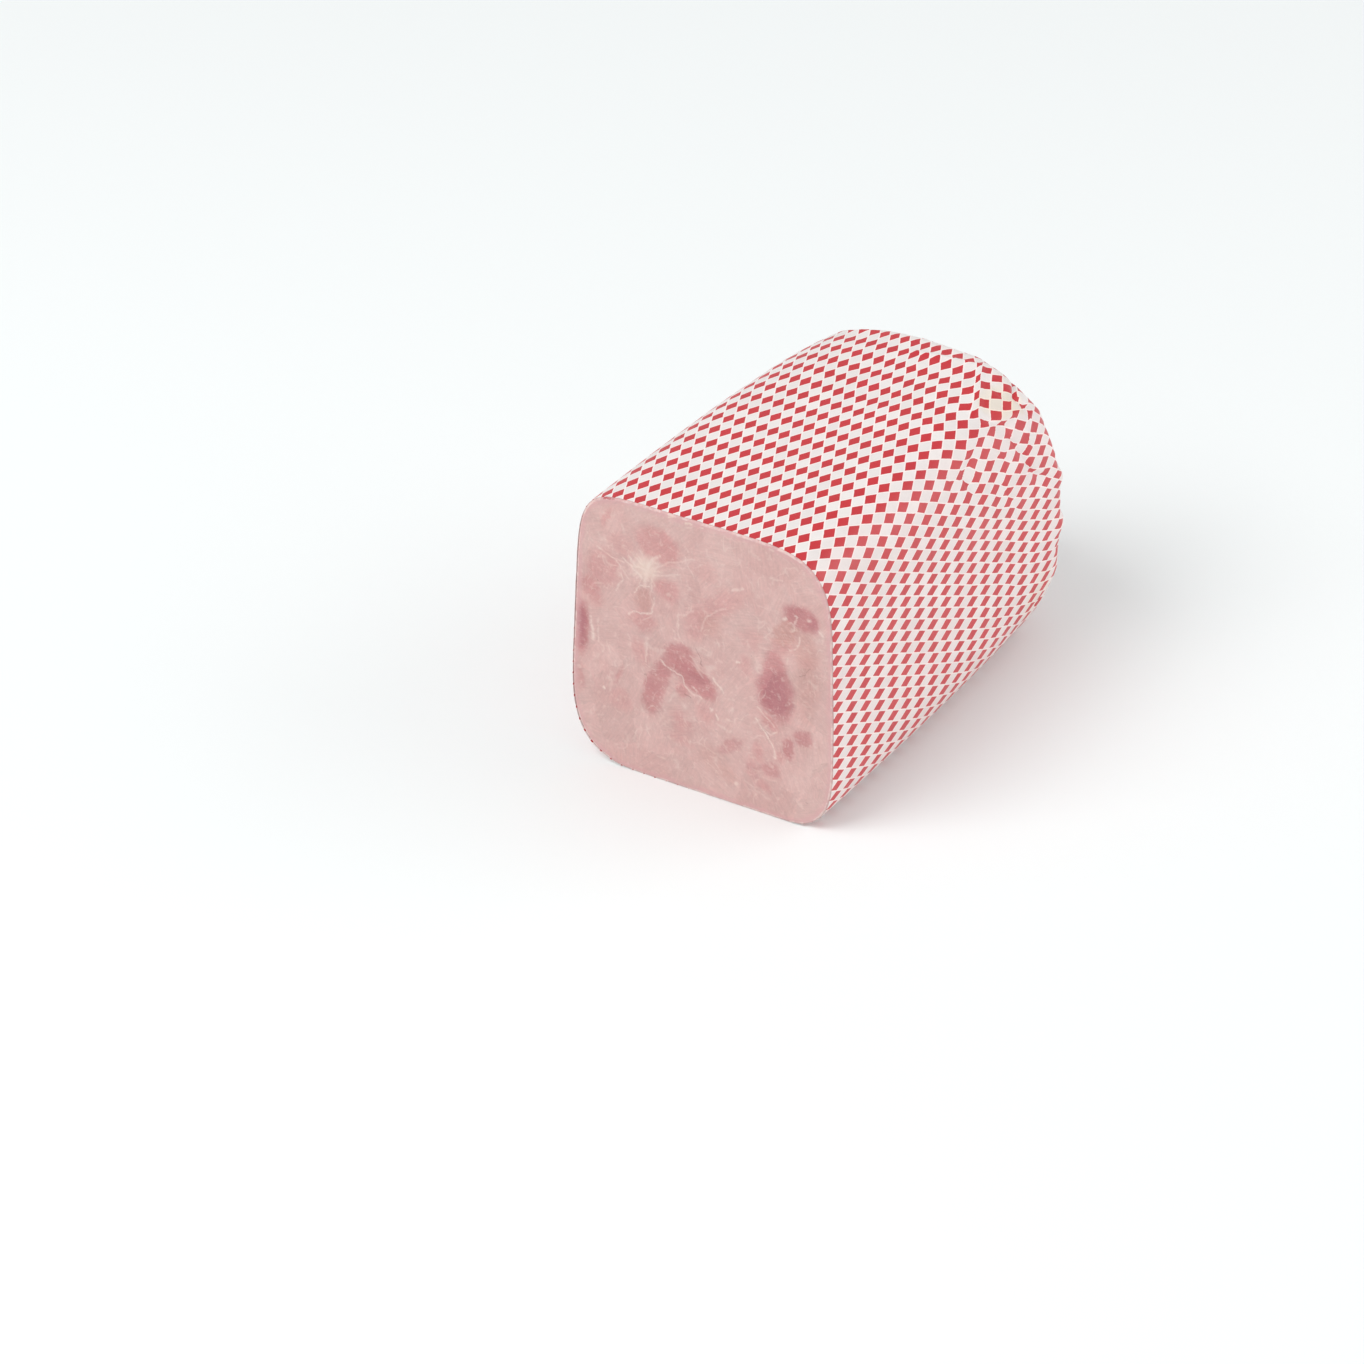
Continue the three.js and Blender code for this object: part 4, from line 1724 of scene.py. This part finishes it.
    def _rim(self, board: Board, solid: Socket, colour: Socket) -> Socket:
        """The pinker, smoother meat close under the casing, with jelly at its very edge; the
        jelly's pale band is partly a painted highlight on the rounded edge.

        Args:
            board: Where the nodes go.
            solid: The place in the meat.
            colour: The meat's colour.

        Returns:
            The colour with the rim.
        """
        near = board.add("ShaderNodeAttribute", attribute_name="rim").outputs["Fac"]
        cloud = board.math("SUBTRACT", board.noise(solid, 0.12, 3), 0.5)
        wander = board.math("MULTIPLY_ADD", cloud, self.rim_wander, near)
        pinker = board.ramp(wander, 0.0, self.rim_width, self.rim_strength, 0.0)
        colour = board.mix(pinker, colour, self.rim)
        # Pale jelly band at the very edge, partly a painted highlight.
        edge = board.ramp(near, 0.0, self.jelly_highlight_width, 1.0, 0.0)
        share = board.times(edge, self.jelly_highlight_cover.over(board, solid))
        return board.mix(share, colour, self.jelly_highlight)


@dataclass(frozen=True)
class ClipFinish:
    """Drawn aluminium wire, scuffed by the crimping."""

    metal: Colour = (0.80, 0.81, 0.82)
    scuffed: Colour = (0.62, 0.63, 0.64)
    mottle: Mottle = Mottle(900.0, 5200.0, 0.6)
    scuff_reach: float = 0.2
    roughness: Pair = (0.42, 0.26)
    bumps: Bumps = Bumps(0.4, 0.1 * MM)

    def material(self, effects: Effects) -> Material:
        """Builds the finish.

        Args:
            effects: The shared node groups.

        Returns:
            The material.
        """
        material, board, shader = new_material("clip aluminium", effects)
        scuffs = self.mottle.over(board, board.object_place())
        clean = board.ramp(scuffs, -self.scuff_reach, self.scuff_reach)
        rough = board.ramp(scuffs, -self.scuff_reach, self.scuff_reach, *self.roughness)
        board.feed(shader, "Base Color", board.mix(clean, self.scuffed, self.metal))
        board.feed(shader, "Roughness", rough)
        shader.inputs["Metallic"].default_value = 1.0
        self.bumps.dress(board, shader, scuffs)
        return material


@dataclass(frozen=True)
class FloorFinish:
    """A plain pale floor."""

    colour: Colour = (0.93, 0.962, 0.962)
    worn: Colour = (0.925, 0.957, 0.957)
    mottle: Mottle = Mottle(3.0, 40.0, 0.5)
    roughness: float = 0.8
    gloss: float = 0.1

    def material(self, effects: Effects) -> Material:
        """Builds the finish.

        Args:
            effects: The shared node groups.

        Returns:
            The material.
        """
        material, board, shader = new_material("pale floor", effects)
        share = board.math("ADD", 0.5, self.mottle.over(board, board.object_place()))
        board.feed(shader, "Base Color", board.mix(share, self.colour, self.worn))
        shader.inputs["Roughness"].default_value = self.roughness
        shader.inputs["Specular IOR Level"].default_value = self.gloss
        return material


# Pieces


@dataclass(frozen=True)
class Unevenness:
    """One size of bumps on the cut: how close they lie, which of them, and their share."""

    scale: float
    layer: float
    roughness: float
    octaves: int
    share: float

    def at(self, x: float, z: float) -> float:
        """Its height at a place on the cut."""
        spot = Vector((x * self.scale, self.layer, z * self.scale))
        return self.share * noise.fractal(spot, self.roughness, 2.0, self.octaves)


@dataclass
class PressedMeat:
    """The meat: a finely laid cut face, with the loaf's body drawn back from its rim."""

    form: LoafForm
    place: Placement
    effects: Effects
    layers: Layers = Layers()
    cells: int = 224
    rim_steps: int = 2880
    rim_rows: tuple[Pair, ...] = ((0.1, 0.4), (0.38, 0.13), (0.9, 0.02), (2.2, 0.0))
    rim_width: float = 0.85
    body_rows: int = 14
    dome_rows: int = 14
    end_depth: float = 0.4 * MM
    relief: float = 0.2 * MM
    bumps: tuple[Unevenness, ...] = (
        Unevenness(45.0, 3.1, 0.6, 3, 0.6),
        Unevenness(260.0, 7.7, 0.7, 2, 0.25),
    )

    def build(self) -> Piece:
        """Models and dresses the meat.

        Returns:
            The meat.
        """
        meat = self._cut_face()
        self._draw_back(meat)
        point_outwards(meat)
        smooth(meat)
        finish = MeatFinish(axis=(self.place.x, self.place.z))
        meat.data.materials.append(finish.material(self.effects))
        finish_piece(meat, ["meat"])
        return meat

    def _rim_row(self, shares: Array, short: float) -> Array:
        """A row round the cut, short of the meat's side by a distance in millimetres."""
        depth = self.layers.meat(0.0) + short * MM
        return Skin.of(self.form, [0.0, 0.2 * MM], shares).inset([depth, depth])[0]

    def _cut_face(self) -> Piece:
        """Lays a fine grid over the cut, square rings onto rings of the section.

        Returns:
            The cut face, which keeps each point's distance from its rim.
        """
        deselect_all()
        cells = self.cells
        bpy.ops.mesh.primitive_grid_add(x_subdivisions=cells, y_subdivisions=cells, size=2)
        meat = bpy.context.object
        meat.name = meat.data.name = "pressed_meat"
        flat = corners_of(meat)
        across, up = flat[:, 0], flat[:, 1]
        ring = np.maximum(np.abs(across), np.abs(up))
        self.shares = self._square_shares(across, up, ring)
        places = self._rim_row(np.linspace(0, 1, self.rim_steps + 1)[:-1], self.rim_width)
        index = np.mod(np.rint(self.shares * self.rim_steps).astype(int), self.rim_steps)
        edge = places[index]
        points = edge * ring[:, None]
        points[:, 1] = [self._relief(x, z) for x, z in points[:, [0, 2]]]
        rim = meat.data.attributes.new("rim", "FLOAT", "POINT")
        gap = (1 - ring) * np.linalg.norm(edge[:, [0, 2]], axis=1) / MM
        rim.data.foreach_set("value", gap.astype(np.float32))
        self.edge = np.flatnonzero(ring > 1 - 1e-5)
        move_corners(meat, self.place.put(points))
        return meat

    @staticmethod
    def _square_shares(across: Array, up: Array, ring: Array) -> Array:
        """How far round its square ring each point lies, clockwise from the top centre.

        Args:
            across: The points' places across the square.
            up: Their places up it.
            ring: Half the side of each point's ring.

        Returns:
            The share of the way round.
        """
        size = np.maximum(ring, 1e-9)
        a, b = across / size, up / size
        side = 1 - 1e-6
        top = np.where(a >= 0, a, 8 + a)
        right, bottom, left = 2 - b, 4 - a, 6 + b
        reach = np.select([b >= side, a >= side, b <= -side], [top, right, bottom], left)
        return np.where(ring < 1e-6, 0.0, reach / 8)

    def _relief(self, x: float, z: float) -> float:
        """The cut's own unevenness at a place, behind the plane of the cut."""
        return self.relief * sum(size.at(x, z) for size in self.bumps)

    def _draw_back(self, meat: Piece) -> None:
        """Draws the rim back into rounded shoulders, then along the loaf to its end.

        Args:
            meat: The cut face.
        """
        ring = self.edge[np.argsort(self.shares[self.edge])]
        shares = self.shares[ring]
        for back, short in self.rim_rows:
            row = self._rim_row(shares, short)
            row[:, 1] = back * MM
            ring = extrude_ring(meat, ring, self.place.put(row))
        places = self.form.inner_places(self.body_rows, self.dome_rows)
        rows = Skin.of(self.form, places, shares).inset([self.layers.meat(y) for y in places])
        draw_to_end(meat, ring, rows, self.place, self.end_depth)


@dataclass(frozen=True)
class CutEdge:
    """How the film's edge wanders at the cut: back on the top, out on the left."""

    back: float = 0.3 * MM
    step: float = 0.35 * MM
    lip: float = 0.35 * MM
    wave: float = 0.3 * MM
    fine_share: float = 0.6
    round_scale: float = 4.2
    layer: float = 1.7
    fineness: float = 5.0
    top: Pair = (0.1, 0.17)
    left_from: Pair = (-0.43, -0.37)
    left_to: Pair = (-0.15, -0.12)
    reach: float = 7 * MM

    def wander(self, shares: Array) -> Array:
        """How far the edge lies behind its usual place.

        Args:
            shares: Shares of the way round from the top centre.

        Returns:
            The distance at each.
        """
        turn = 2 * math.pi * shares
        scale = self.round_scale
        places = [Vector((math.cos(t) * scale, math.sin(t) * scale, self.layer)) for t in turn]
        broad = np.array([noise.noise(place) for place in places])
        fine = np.array([noise.noise(place * self.fineness) for place in places])
        on_top = 1 - smoothstep(np.abs(shares), *self.top)
        on_left = smoothstep(shares, *self.left_from) * (1 - smoothstep(shares, *self.left_to))
        step = self.step * on_top - self.lip * on_left
        return step + self.wave * (broad + self.fine_share * fine)


@dataclass(frozen=True)
class Looseness:
    """The film's unevenness: faint over the meat, loose and drawn askew at the shoulder."""

    waviness: float = 0.1 * MM
    wave_scale: float = 62.0
    seed: int = 18
    looseness: float = 0.3 * MM
    ripple_scale: float = 150.0
    shares: Pair = (0.6, 0.5)
    drift: Pair = (0.14, 0.07)
    still: float = 6 * MM
    loose_from: float = 95 * MM
    loose_full: float = 135 * MM

    def waves(self, skin: Skin, floor: float) -> tuple[Array, Array]:
        """The waves of the film over the loaf.

        Args:
            skin: The loaf's surface.
            floor: The height that the loaf rests at.

        Returns:
            The rise of each point, and the drift of its print in repeats.
        """
        noise.seed_set(self.seed)
        clouds = np.array([
            [noise.noise_vector(Vector(point) * self.wave_scale) for point in row]
            for row in skin.points
        ])
        ripples = np.array([
            [noise.noise(Vector(point) * self.ripple_scale) for point in row]
            for row in skin.points
        ])
        off_floor = smoothstep(skin.points[:, :, 2], floor, floor + self.still)
        grown = smoothstep(skin.reach, 0, self.still)
        loose = smoothstep(skin.reach, self.loose_from, self.loose_full) * off_floor
        broad, fine = self.shares
        rise = self.waviness * clouds[:, :, 0] * off_floor * grown
        rise += self.looseness * (broad * clouds[:, :, 1] + fine * ripples) * loose
        return rise, clouds[:, :, 1:] * loose[:, :, None] * np.array(self.drift)


@dataclass
class CheckedCasing:
    """The printed film: wrapped over the loaf, folded at its shoulder, drawn to a neck."""

    form: LoafForm
    place: Placement
    effects: Effects
    layout: PrintLayout = PrintLayout()
    pleats: Pleats = Pleats()
    hidden: HiddenFolds = HiddenFolds()
    cut: CutEdge = CutEdge()
    looseness: Looseness = Looseness()
    layers: Layers = Layers()
    stretches: tuple[tuple[float, int], ...] = ((-0.03, 190), (0.235, 176), (0.5, 100))
    edge_rows: tuple[float, ...] = (0.0, 0.5, 1.1, 2.0, 3.4)
    front_rows: int = 22
    middle_rows: int = 48
    middle_start: float = 102 * MM
    dome_rows: int = 72
    end_depth: float = 0.9 * MM
    neck_radius: float = 4.2 * MM
    neck_start: float = 2.2 * MM
    neck_end: float = 4.1 * MM
    fillet: tuple[Pair, ...] = ((0.2, 1.6), (0.7, 1.1))
    gathers: tuple[tuple[int, float, float], ...] = ((11, 0.05, 0.0), (23, 0.03, 1.0))
    neck_print: float = 0.25
    lining_rows: tuple[int, int] = (14, 14)

    def build(self) -> Piece:
        """Models and dresses the film.

        Returns:
            The casing.
        """
        shares = self._shares()
        skin = Skin.of(self.form, self._places(), shares)
        self.neck = skin.points[-1].mean(axis=0)
        outer, film = self._outside(skin)
        neck_rows, neck_film = self._neck(film, shares)
        points = np.concatenate([outer, neck_rows])
        prints = np.concatenate([film, neck_film])
        casing = printed_sheet("checked_casing", self.place.put(points), prints)
        casing.data.materials.append(FilmFinish().material(self.effects))
        casing.data.materials.append(FilmEdgeFinish().material(self.effects))
        self._line(casing, points, shares[:-1])
        point_outwards(casing)
        smooth(casing, 75)
        finish_piece(casing, ["casing"])
        return casing

    def _shares(self) -> Array:
        """Where the columns lie round the loaf: closest where its folds are seen.

        Returns:
            Shares of the way round, from the seam and back to it.
        """
        start, shares = -0.5, [np.array([-0.5])]
        for end, columns in self.stretches:
            shares.append(np.linspace(start, end, columns + 1)[1:])
            start = end
        return np.concatenate(shares)

    def _places(self) -> Array:
        """Where the rows lie along the loaf: close at the cut, and closest on the dome.

        Returns:
            How far behind the cut each row lies.
        """
        edge = np.array(self.edge_rows) * MM + self.cut.back
        front = np.linspace(edge[-1], self.middle_start, self.front_rows)[1:]
        middle = np.linspace(self.middle_start, self.form.dome_start, self.middle_rows)[1:-1]
        return np.concatenate([edge, front, middle, self.form.dome_places(self.dome_rows)])

    def _outside(self, skin: Skin) -> tuple[Array, Array]:
        """The film's outer side with its folds, and the print on it.

        Args:
            skin: The loaf's surface.

        Returns:
            The points by rows, and their places on the print in repeats.
        """
        rounds = np.broadcast_to(self.layout.round(skin.shares), skin.reach.shape)
        along = self.layout.along(rounds, skin.reach + self.cut.back)
        film = np.stack([rounds, along], 2)
        rise = self.pleats.heights(self.form, skin, self.neck)
        flat = film.reshape(-1, 2)
        shift = np.zeros_like(flat)
        for fold in (*VISIBLE_FOLDS, *self.hidden.scattered()):
            lifted, drawn = fold.press(flat, self.layout)
            rise = rise + lifted.reshape(rise.shape)
            shift += drawn
        waves, drift = self.looseness.waves(skin, -self.form.rest_drop)
        rise = rise + waves
        above = skin.points[:, :, 2] + skin.outward[:, :, 2] * rise
        rise = np.where(above < -self.form.rest_drop, 0.0, rise)
        points = skin.points + skin.outward * rise[:, :, None]
        wander = self.cut.wander(skin.shares)
        near = 1 - smoothstep(skin.reach, 0, self.cut.reach)
        points[:, :, 1] += wander[None] * near
        prints = film + shift.reshape(film.shape) + drift
        prints[:, :, 1] += wander[None] * near / self.layout.repeat_along
        points[:, -1] = points[:, 0]
        return points, prints

    def _neck(self, film: Array, shares: Array) -> tuple[Array, Array]:
        """The rows that draw the film in to the neck, as far as the clip's middle.

        Args:
            film: The print's places on the loaf, by rows.
            shares: Where the columns lie round the loaf.

        Returns:
            The points by rows, and their places on the print in repeats.
        """
        angle = 2 * math.pi * (0.25 - shares)
        start, narrow = self.neck_start, self.neck_radius
        stations = [(start * along, narrow * wide) for along, wide in self.fillet]
        stations += [(start, narrow), (self.neck_end, narrow)]
        gathered = 1.0
        for count, size, phase in self.gathers:
            gathered = gathered + size * np.cos(count * angle + phase)
        rows, prints = [], []
        last = film[-1]
        for past, radius in stations:
            x = self.neck[0] + radius * gathered * np.cos(angle)
            z = self.neck[2] + radius * gathered * np.sin(angle)
            rows.append(np.stack([x, np.full_like(x, self.form.length + past), z], 1))
            last = last + np.array([0.0, self.neck_print])
            prints.append(last)
        rows = np.array(rows)
        rows[:, -1] = rows[:, 0]
        return rows, np.array(prints)

    def _line(self, casing: Piece, outer: Array, shares: Array) -> None:
        """Gives the film its thickness at the cut and its unprinted back, and closes it.

        Args:
            casing: The film's outer side.
            outer: Its points by rows, with the seam at both ends.
            shares: Where the columns lie round the loaf, each once.
        """
        places = corners_of(casing)
        ring = self._find(places, self.place.put(outer[0, :-1]))
        end = self._find(places, self.place.put(outer[-1, :-1]))
        before = len(casing.data.polygons)
        rows_at = [self.cut.back, *self.form.inner_places(*self.lining_rows)]
        depths = [self.layers.back(y) for y in rows_at]
        lining = Skin.of(self.form, rows_at, shares).inset(depths)
        lining[0, :, 1] = outer[0, :-1, 1]
        draw_to_end(casing, ring, lining, self.place, self.end_depth)
        close_ring(casing, end, self.place.put(outer[-1].mean(axis=0)))
        index = np.zeros(len(casing.data.polygons), np.int32)
        index[before + 2 * len(shares):] = 1
        casing.data.polygons.foreach_set("material_index", index)

    @staticmethod
    def _find(places: Array, wanted: Array) -> Array:
        """The points nearest to each wanted place, in order."""
        return np.array([int(np.argmin(np.sum((places - spot) ** 2, axis=1))) for spot in wanted])


class TailPart(Enum):
    """The part of the tail that a row belongs to."""

    SEAT = "under the clip"
    OUTSIDE = "outside"
    MOUTH = "inside the mouth"


@dataclass(frozen=True)
class Ruffle:
    """Waves round the tail: their number and size, and how they swing to and fro."""

    count: int
    size: float
    swing: float
    swings: int
    phase: float

    def over(self, turn: Array) -> Array:
        """Their height at turns round the tail."""
        swung = self.swing * np.sin(self.swings * turn + self.phase)
        return self.size * np.cos(self.count * turn + swung)


@dataclass
class GatheredTail:
    """The film behind the clip, spreading out again into a ruffled end."""

    form: LoafForm
    place: Placement
    effects: Effects
    neck: Array
    layout: PrintLayout = PrintLayout()
    first_along: float = 16.5
    columns: int = 264
    rows: int = 30
    mouth_rows: int = 12
    start: float = 4.5 * MM
    seat_end: float = 6.4 * MM
    length: float = 20.6 * MM
    neck_radius: float = 4.2 * MM
    radius: float = 12.2 * MM
    spread_power: float = 0.85
    ruffles: tuple[Ruffle, ...] = (Ruffle(9, 0.2, 1.2, 2, 0.5), Ruffle(17, 0.09, 2.0, 3, 0.0))
    gathers: int = 11
    gather_size: float = 0.06
    lean: float = 0.9 * MM
    lean_phase: float = 0.7
    wall: float = 0.4 * MM
    least_radius: float = 0.3 * MM

    def build(self) -> Piece:
        """Models and dresses the tail.

        Returns:
            The tail.
        """
        shares = np.linspace(-0.5, 0.5, self.columns + 1)
        alongs = np.linspace(0.0, 1.0, self.rows)
        outer = [self._row(shares, 0.0, TailPart.SEAT)]
        outer += [self._row(shares, along, TailPart.OUTSIDE) for along in alongs]
        mouth = alongs[::-2][: self.mouth_rows]
        inner = [self._row(shares, along, TailPart.MOUTH) for along in mouth]
        pole, bottom = (
            np.broadcast_to(row.mean(axis=0), row.shape) for row in (outer[0], inner[-1])
        )
        points = np.array([pole, *outer, *inner, bottom])
        points[:, -1] = points[:, 0]
        reach = reach_of(points)
        rounds = np.broadcast_to(self.layout.round(shares), reach.shape)
        film = np.stack([rounds, self.first_along + reach / self.layout.repeat_along], 2)
        tail = printed_sheet("film_tail", self.place.put(points), film)
        tail.data.materials.append(FilmFinish().material(self.effects))
        point_outwards(tail)
        smooth(tail, 75)
        finish_piece(tail, ["tail"])
        return tail

    def _row(self, shares: Array, along: float, part: TailPart) -> Array:
        """A row of the tail.

        Args:
            shares: Where its points lie round the tail.
            along: The share of the tail's length that lies before it.
            part: The part of the tail that it belongs to.

        Returns:
            The row's points.
        """
        past = self.seat_end + (self.length - self.seat_end) * along
        if part is TailPart.SEAT:
            past = self.start
        turn = 2 * math.pi * shares
        spread = along**self.spread_power
        ruffle = sum(waves.over(turn) for waves in self.ruffles)
        radius = self.neck_radius + (self.radius - self.neck_radius) * spread * (1 + ruffle)
        radius = radius + self.neck_radius * self.gather_size * np.cos(self.gathers * turn)
        if part is TailPart.MOUTH:
            radius = np.maximum(radius - self.wall, self.least_radius)
        angle = 2 * math.pi * (0.25 - shares)
        lean = self.lean * spread * np.sin(3 * turn + self.lean_phase)
        x = self.neck[0] + radius * np.cos(angle)
        z = self.neck[2] + radius * np.sin(angle)
        y = np.minimum(self.form.length + past + lean * along, self.form.length + self.length)
        return np.stack([x, y, z], 1)


@dataclass
class CrimpedClip:
    """The clip: flat aluminium wire, bent round the neck with its ends pressed together."""

    effects: Effects
    width: float = 3.2 * MM
    thickness: float = 2.2 * MM
    edge: float = 0.7 * MM
    opening: float = 8.0
    steps: int = 72
    flats: int = 6
    flat_depth: float = 0.10 * MM
    flat_edge: float = 0.7
    dent_depth: float = 0.05 * MM
    dent_scale: float = 600.0

    def build(self) -> Piece:
        """Models and dresses the clip.

        Returns:
            The clip.
        """
        low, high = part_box("clip")
        centre = (low + high) / 2
        outer = (high.x - low.x) / 2
        radius = outer - self.thickness / 2
        spot = (centre.x, centre.y, centre.z - radius)
        deselect_all()
        bpy.ops.mesh.primitive_plane_add(size=1, location=spot, rotation=(0, math.pi / 2, 0))
        clip = bpy.context.object
        clip.name = clip.data.name = "crimped_clip"
        clip.scale = (self.thickness, self.width, 1)
        bpy.ops.object.transform_apply(location=True, rotation=True, scale=True)
        in_edit_mode(clip, None, lambda: self._bend(centre))
        point_outwards(clip)
        self._mark(clip, centre)
        smooth(clip, 40)
        clip.data.materials.append(ClipFinish().material(self.effects))
        finish_piece(clip, ["clip"])
        return clip

    def _bend(self, centre: Vector) -> None:
        """Rounds the wire's section, turns it to one end and spins it round the neck.

        Args:
            centre: The clip's middle.
        """
        bpy.ops.mesh.bevel(offset=self.edge, segments=4, affect="VERTICES")
        half = math.radians(self.opening / 2)
        bpy.ops.transform.rotate(value=half, orient_axis="Y", center_override=centre)
        whole = math.radians(360 - self.opening)
        bpy.ops.mesh.spin(
            steps=self.steps, angle=whole, center=centre, axis=(0, 1, 0), use_auto_merge=False
        )
        bpy.ops.mesh.select_all(action="SELECT")
        bpy.ops.mesh.remove_doubles(threshold=0.001 * MM)

    def _mark(self, clip: Piece, centre: Vector) -> None:
        """Leaves the shallow flats and dents of the crimping tool in the wire.

        Args:
            clip: The clip.
            centre: Its middle.
        """
        places = corners_of(clip)
        offset = places - np.array(centre)
        turn = np.arctan2(offset[:, 2], offset[:, 0])
        radius = np.hypot(offset[:, 0], offset[:, 2])
        dents = np.array([noise.noise(Vector(place) * self.dent_scale) for place in places])
        flats = smoothstep(np.cos(self.flats * turn), self.flat_edge, 1.0)
        pressed = self.flat_depth * flats + self.dent_depth * dents
        outer = smoothstep(radius, radius.mean(), radius.max())
        scale = 1 - pressed * outer / radius
        places[:, 0] = centre.x + offset[:, 0] * scale
        places[:, 2] = centre.z + offset[:, 2] * scale
        move_corners(clip, places)


# Studio


@dataclass(frozen=True)
class Viewpoint:
    """Where the photograph was taken from, about the middle of the cut."""

    turn: float = -0.585
    tilt: float = 0.555
    roll: float = -0.025
    aside: float = 8.311 * MM
    below: float = -8.526 * MM
    distance: float = 2267.5 * MM
    focal_pixels: float = 5431.7
    farthest: float = 50.0

    def add_camera(self, place: Placement) -> None:
        """Stands the camera up and makes it the scene's.

        Args:
            place: Where the middle of the cut is.
        """
        to_view = (
            Matrix.Rotation(self.roll, 3, "Z")
            @ Matrix.Rotation(self.tilt, 3, "X")
            @ Matrix(((1, 0, 0), (0, 0, -1), (0, 1, 0)))
            @ Matrix.Rotation(self.turn, 3, "Z")
        )
        offset = Vector((self.aside, self.below, self.distance))
        spot = Vector((place.x, place.y, place.z)) - to_view.transposed() @ offset
        axes = Matrix((to_view[0], -to_view[1], -to_view[2])).transposed()
        data = bpy.data.cameras.new("camera")
        data.sensor_width = SENSOR_WIDTH
        data.lens = self.focal_pixels / IMAGE_SIDE * SENSOR_WIDTH
        data.clip_end = self.farthest
        camera = bpy.data.objects.new("camera", data)
        camera.matrix_world = Matrix.Translation(spot) @ axes.to_4x4()
        bpy.context.scene.collection.objects.link(camera)
        bpy.context.scene.camera = camera


@dataclass(frozen=True)
class Lamp:
    """A soft square light that looks at the ham."""

    name: str
    place: Triple
    size: float
    power: float
    aim: Triple = (0.0, 0.0, 0.06)

    def hang(self) -> None:
        """Adds the light to the scene."""
        data = bpy.data.lights.new(self.name, "AREA")
        data.size = self.size
        data.energy = self.power
        light = bpy.data.objects.new(self.name, data)
        light.location = self.place
        way = Vector(self.aim) - Vector(self.place)
        light.rotation_euler = way.to_track_quat("-Z", "Y").to_euler()
        bpy.context.scene.collection.objects.link(light)


@dataclass
class Studio:
    """The pale floor, the soft light and the surroundings."""

    effects: Effects
    floor_size: float = 40.0
    floor_drop: float = 0.02 * MM
    sky: float = 0.615
    lamps: tuple[Lamp, ...] = (
        Lamp("key", (-0.9, -1.8, 2.4), 1.9, 48.5),
        Lamp("side", (2.0, 1.2, 0.7), 2.4, 25.0),
    )

    def build(self) -> None:
        """Sets the floor, the world and the lights up."""
        deselect_all()
        bpy.ops.mesh.primitive_plane_add(size=self.floor_size, location=(0, 0, -self.floor_drop))
        floor = bpy.context.object
        floor.name = "floor"
        floor.data.materials.append(FloorFinish().material(self.effects))
        world = bpy.data.worlds.new("studio")
        world.use_nodes = True
        sky = world.node_tree.nodes["Background"].inputs
        sky["Color"].default_value = (1, 1, 1, 1)
        sky["Strength"].default_value = self.sky
        bpy.context.scene.world = world
        for lamp in self.lamps:
            lamp.hang()


def report(piece: Piece) -> None:
    """Says that a piece is built, and of how many triangles."""
    piece.data.calc_loop_triangles()
    LOG.info("%s: %d triangles", piece.name, len(piece.data.loop_triangles))


def main() -> None:
    """Builds the pieces in order, and the studio round them."""
    logging.basicConfig(level=logging.INFO, format="%(name)s %(message)s")
    form = LoafForm()
    place = Placement.from_solids(form)
    effects = Effects()
    report(PressedMeat(form, place, effects).build())
    casing = CheckedCasing(form, place, effects)
    report(casing.build())
    report(GatheredTail(form, place, effects, casing.neck).build())
    report(CrimpedClip(effects).build())
    Studio(effects).build()
    Viewpoint().add_camera(place)
    bpy.context.scene.view_settings.view_transform = "Standard"
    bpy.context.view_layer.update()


if __name__ == "__main__":
    main()
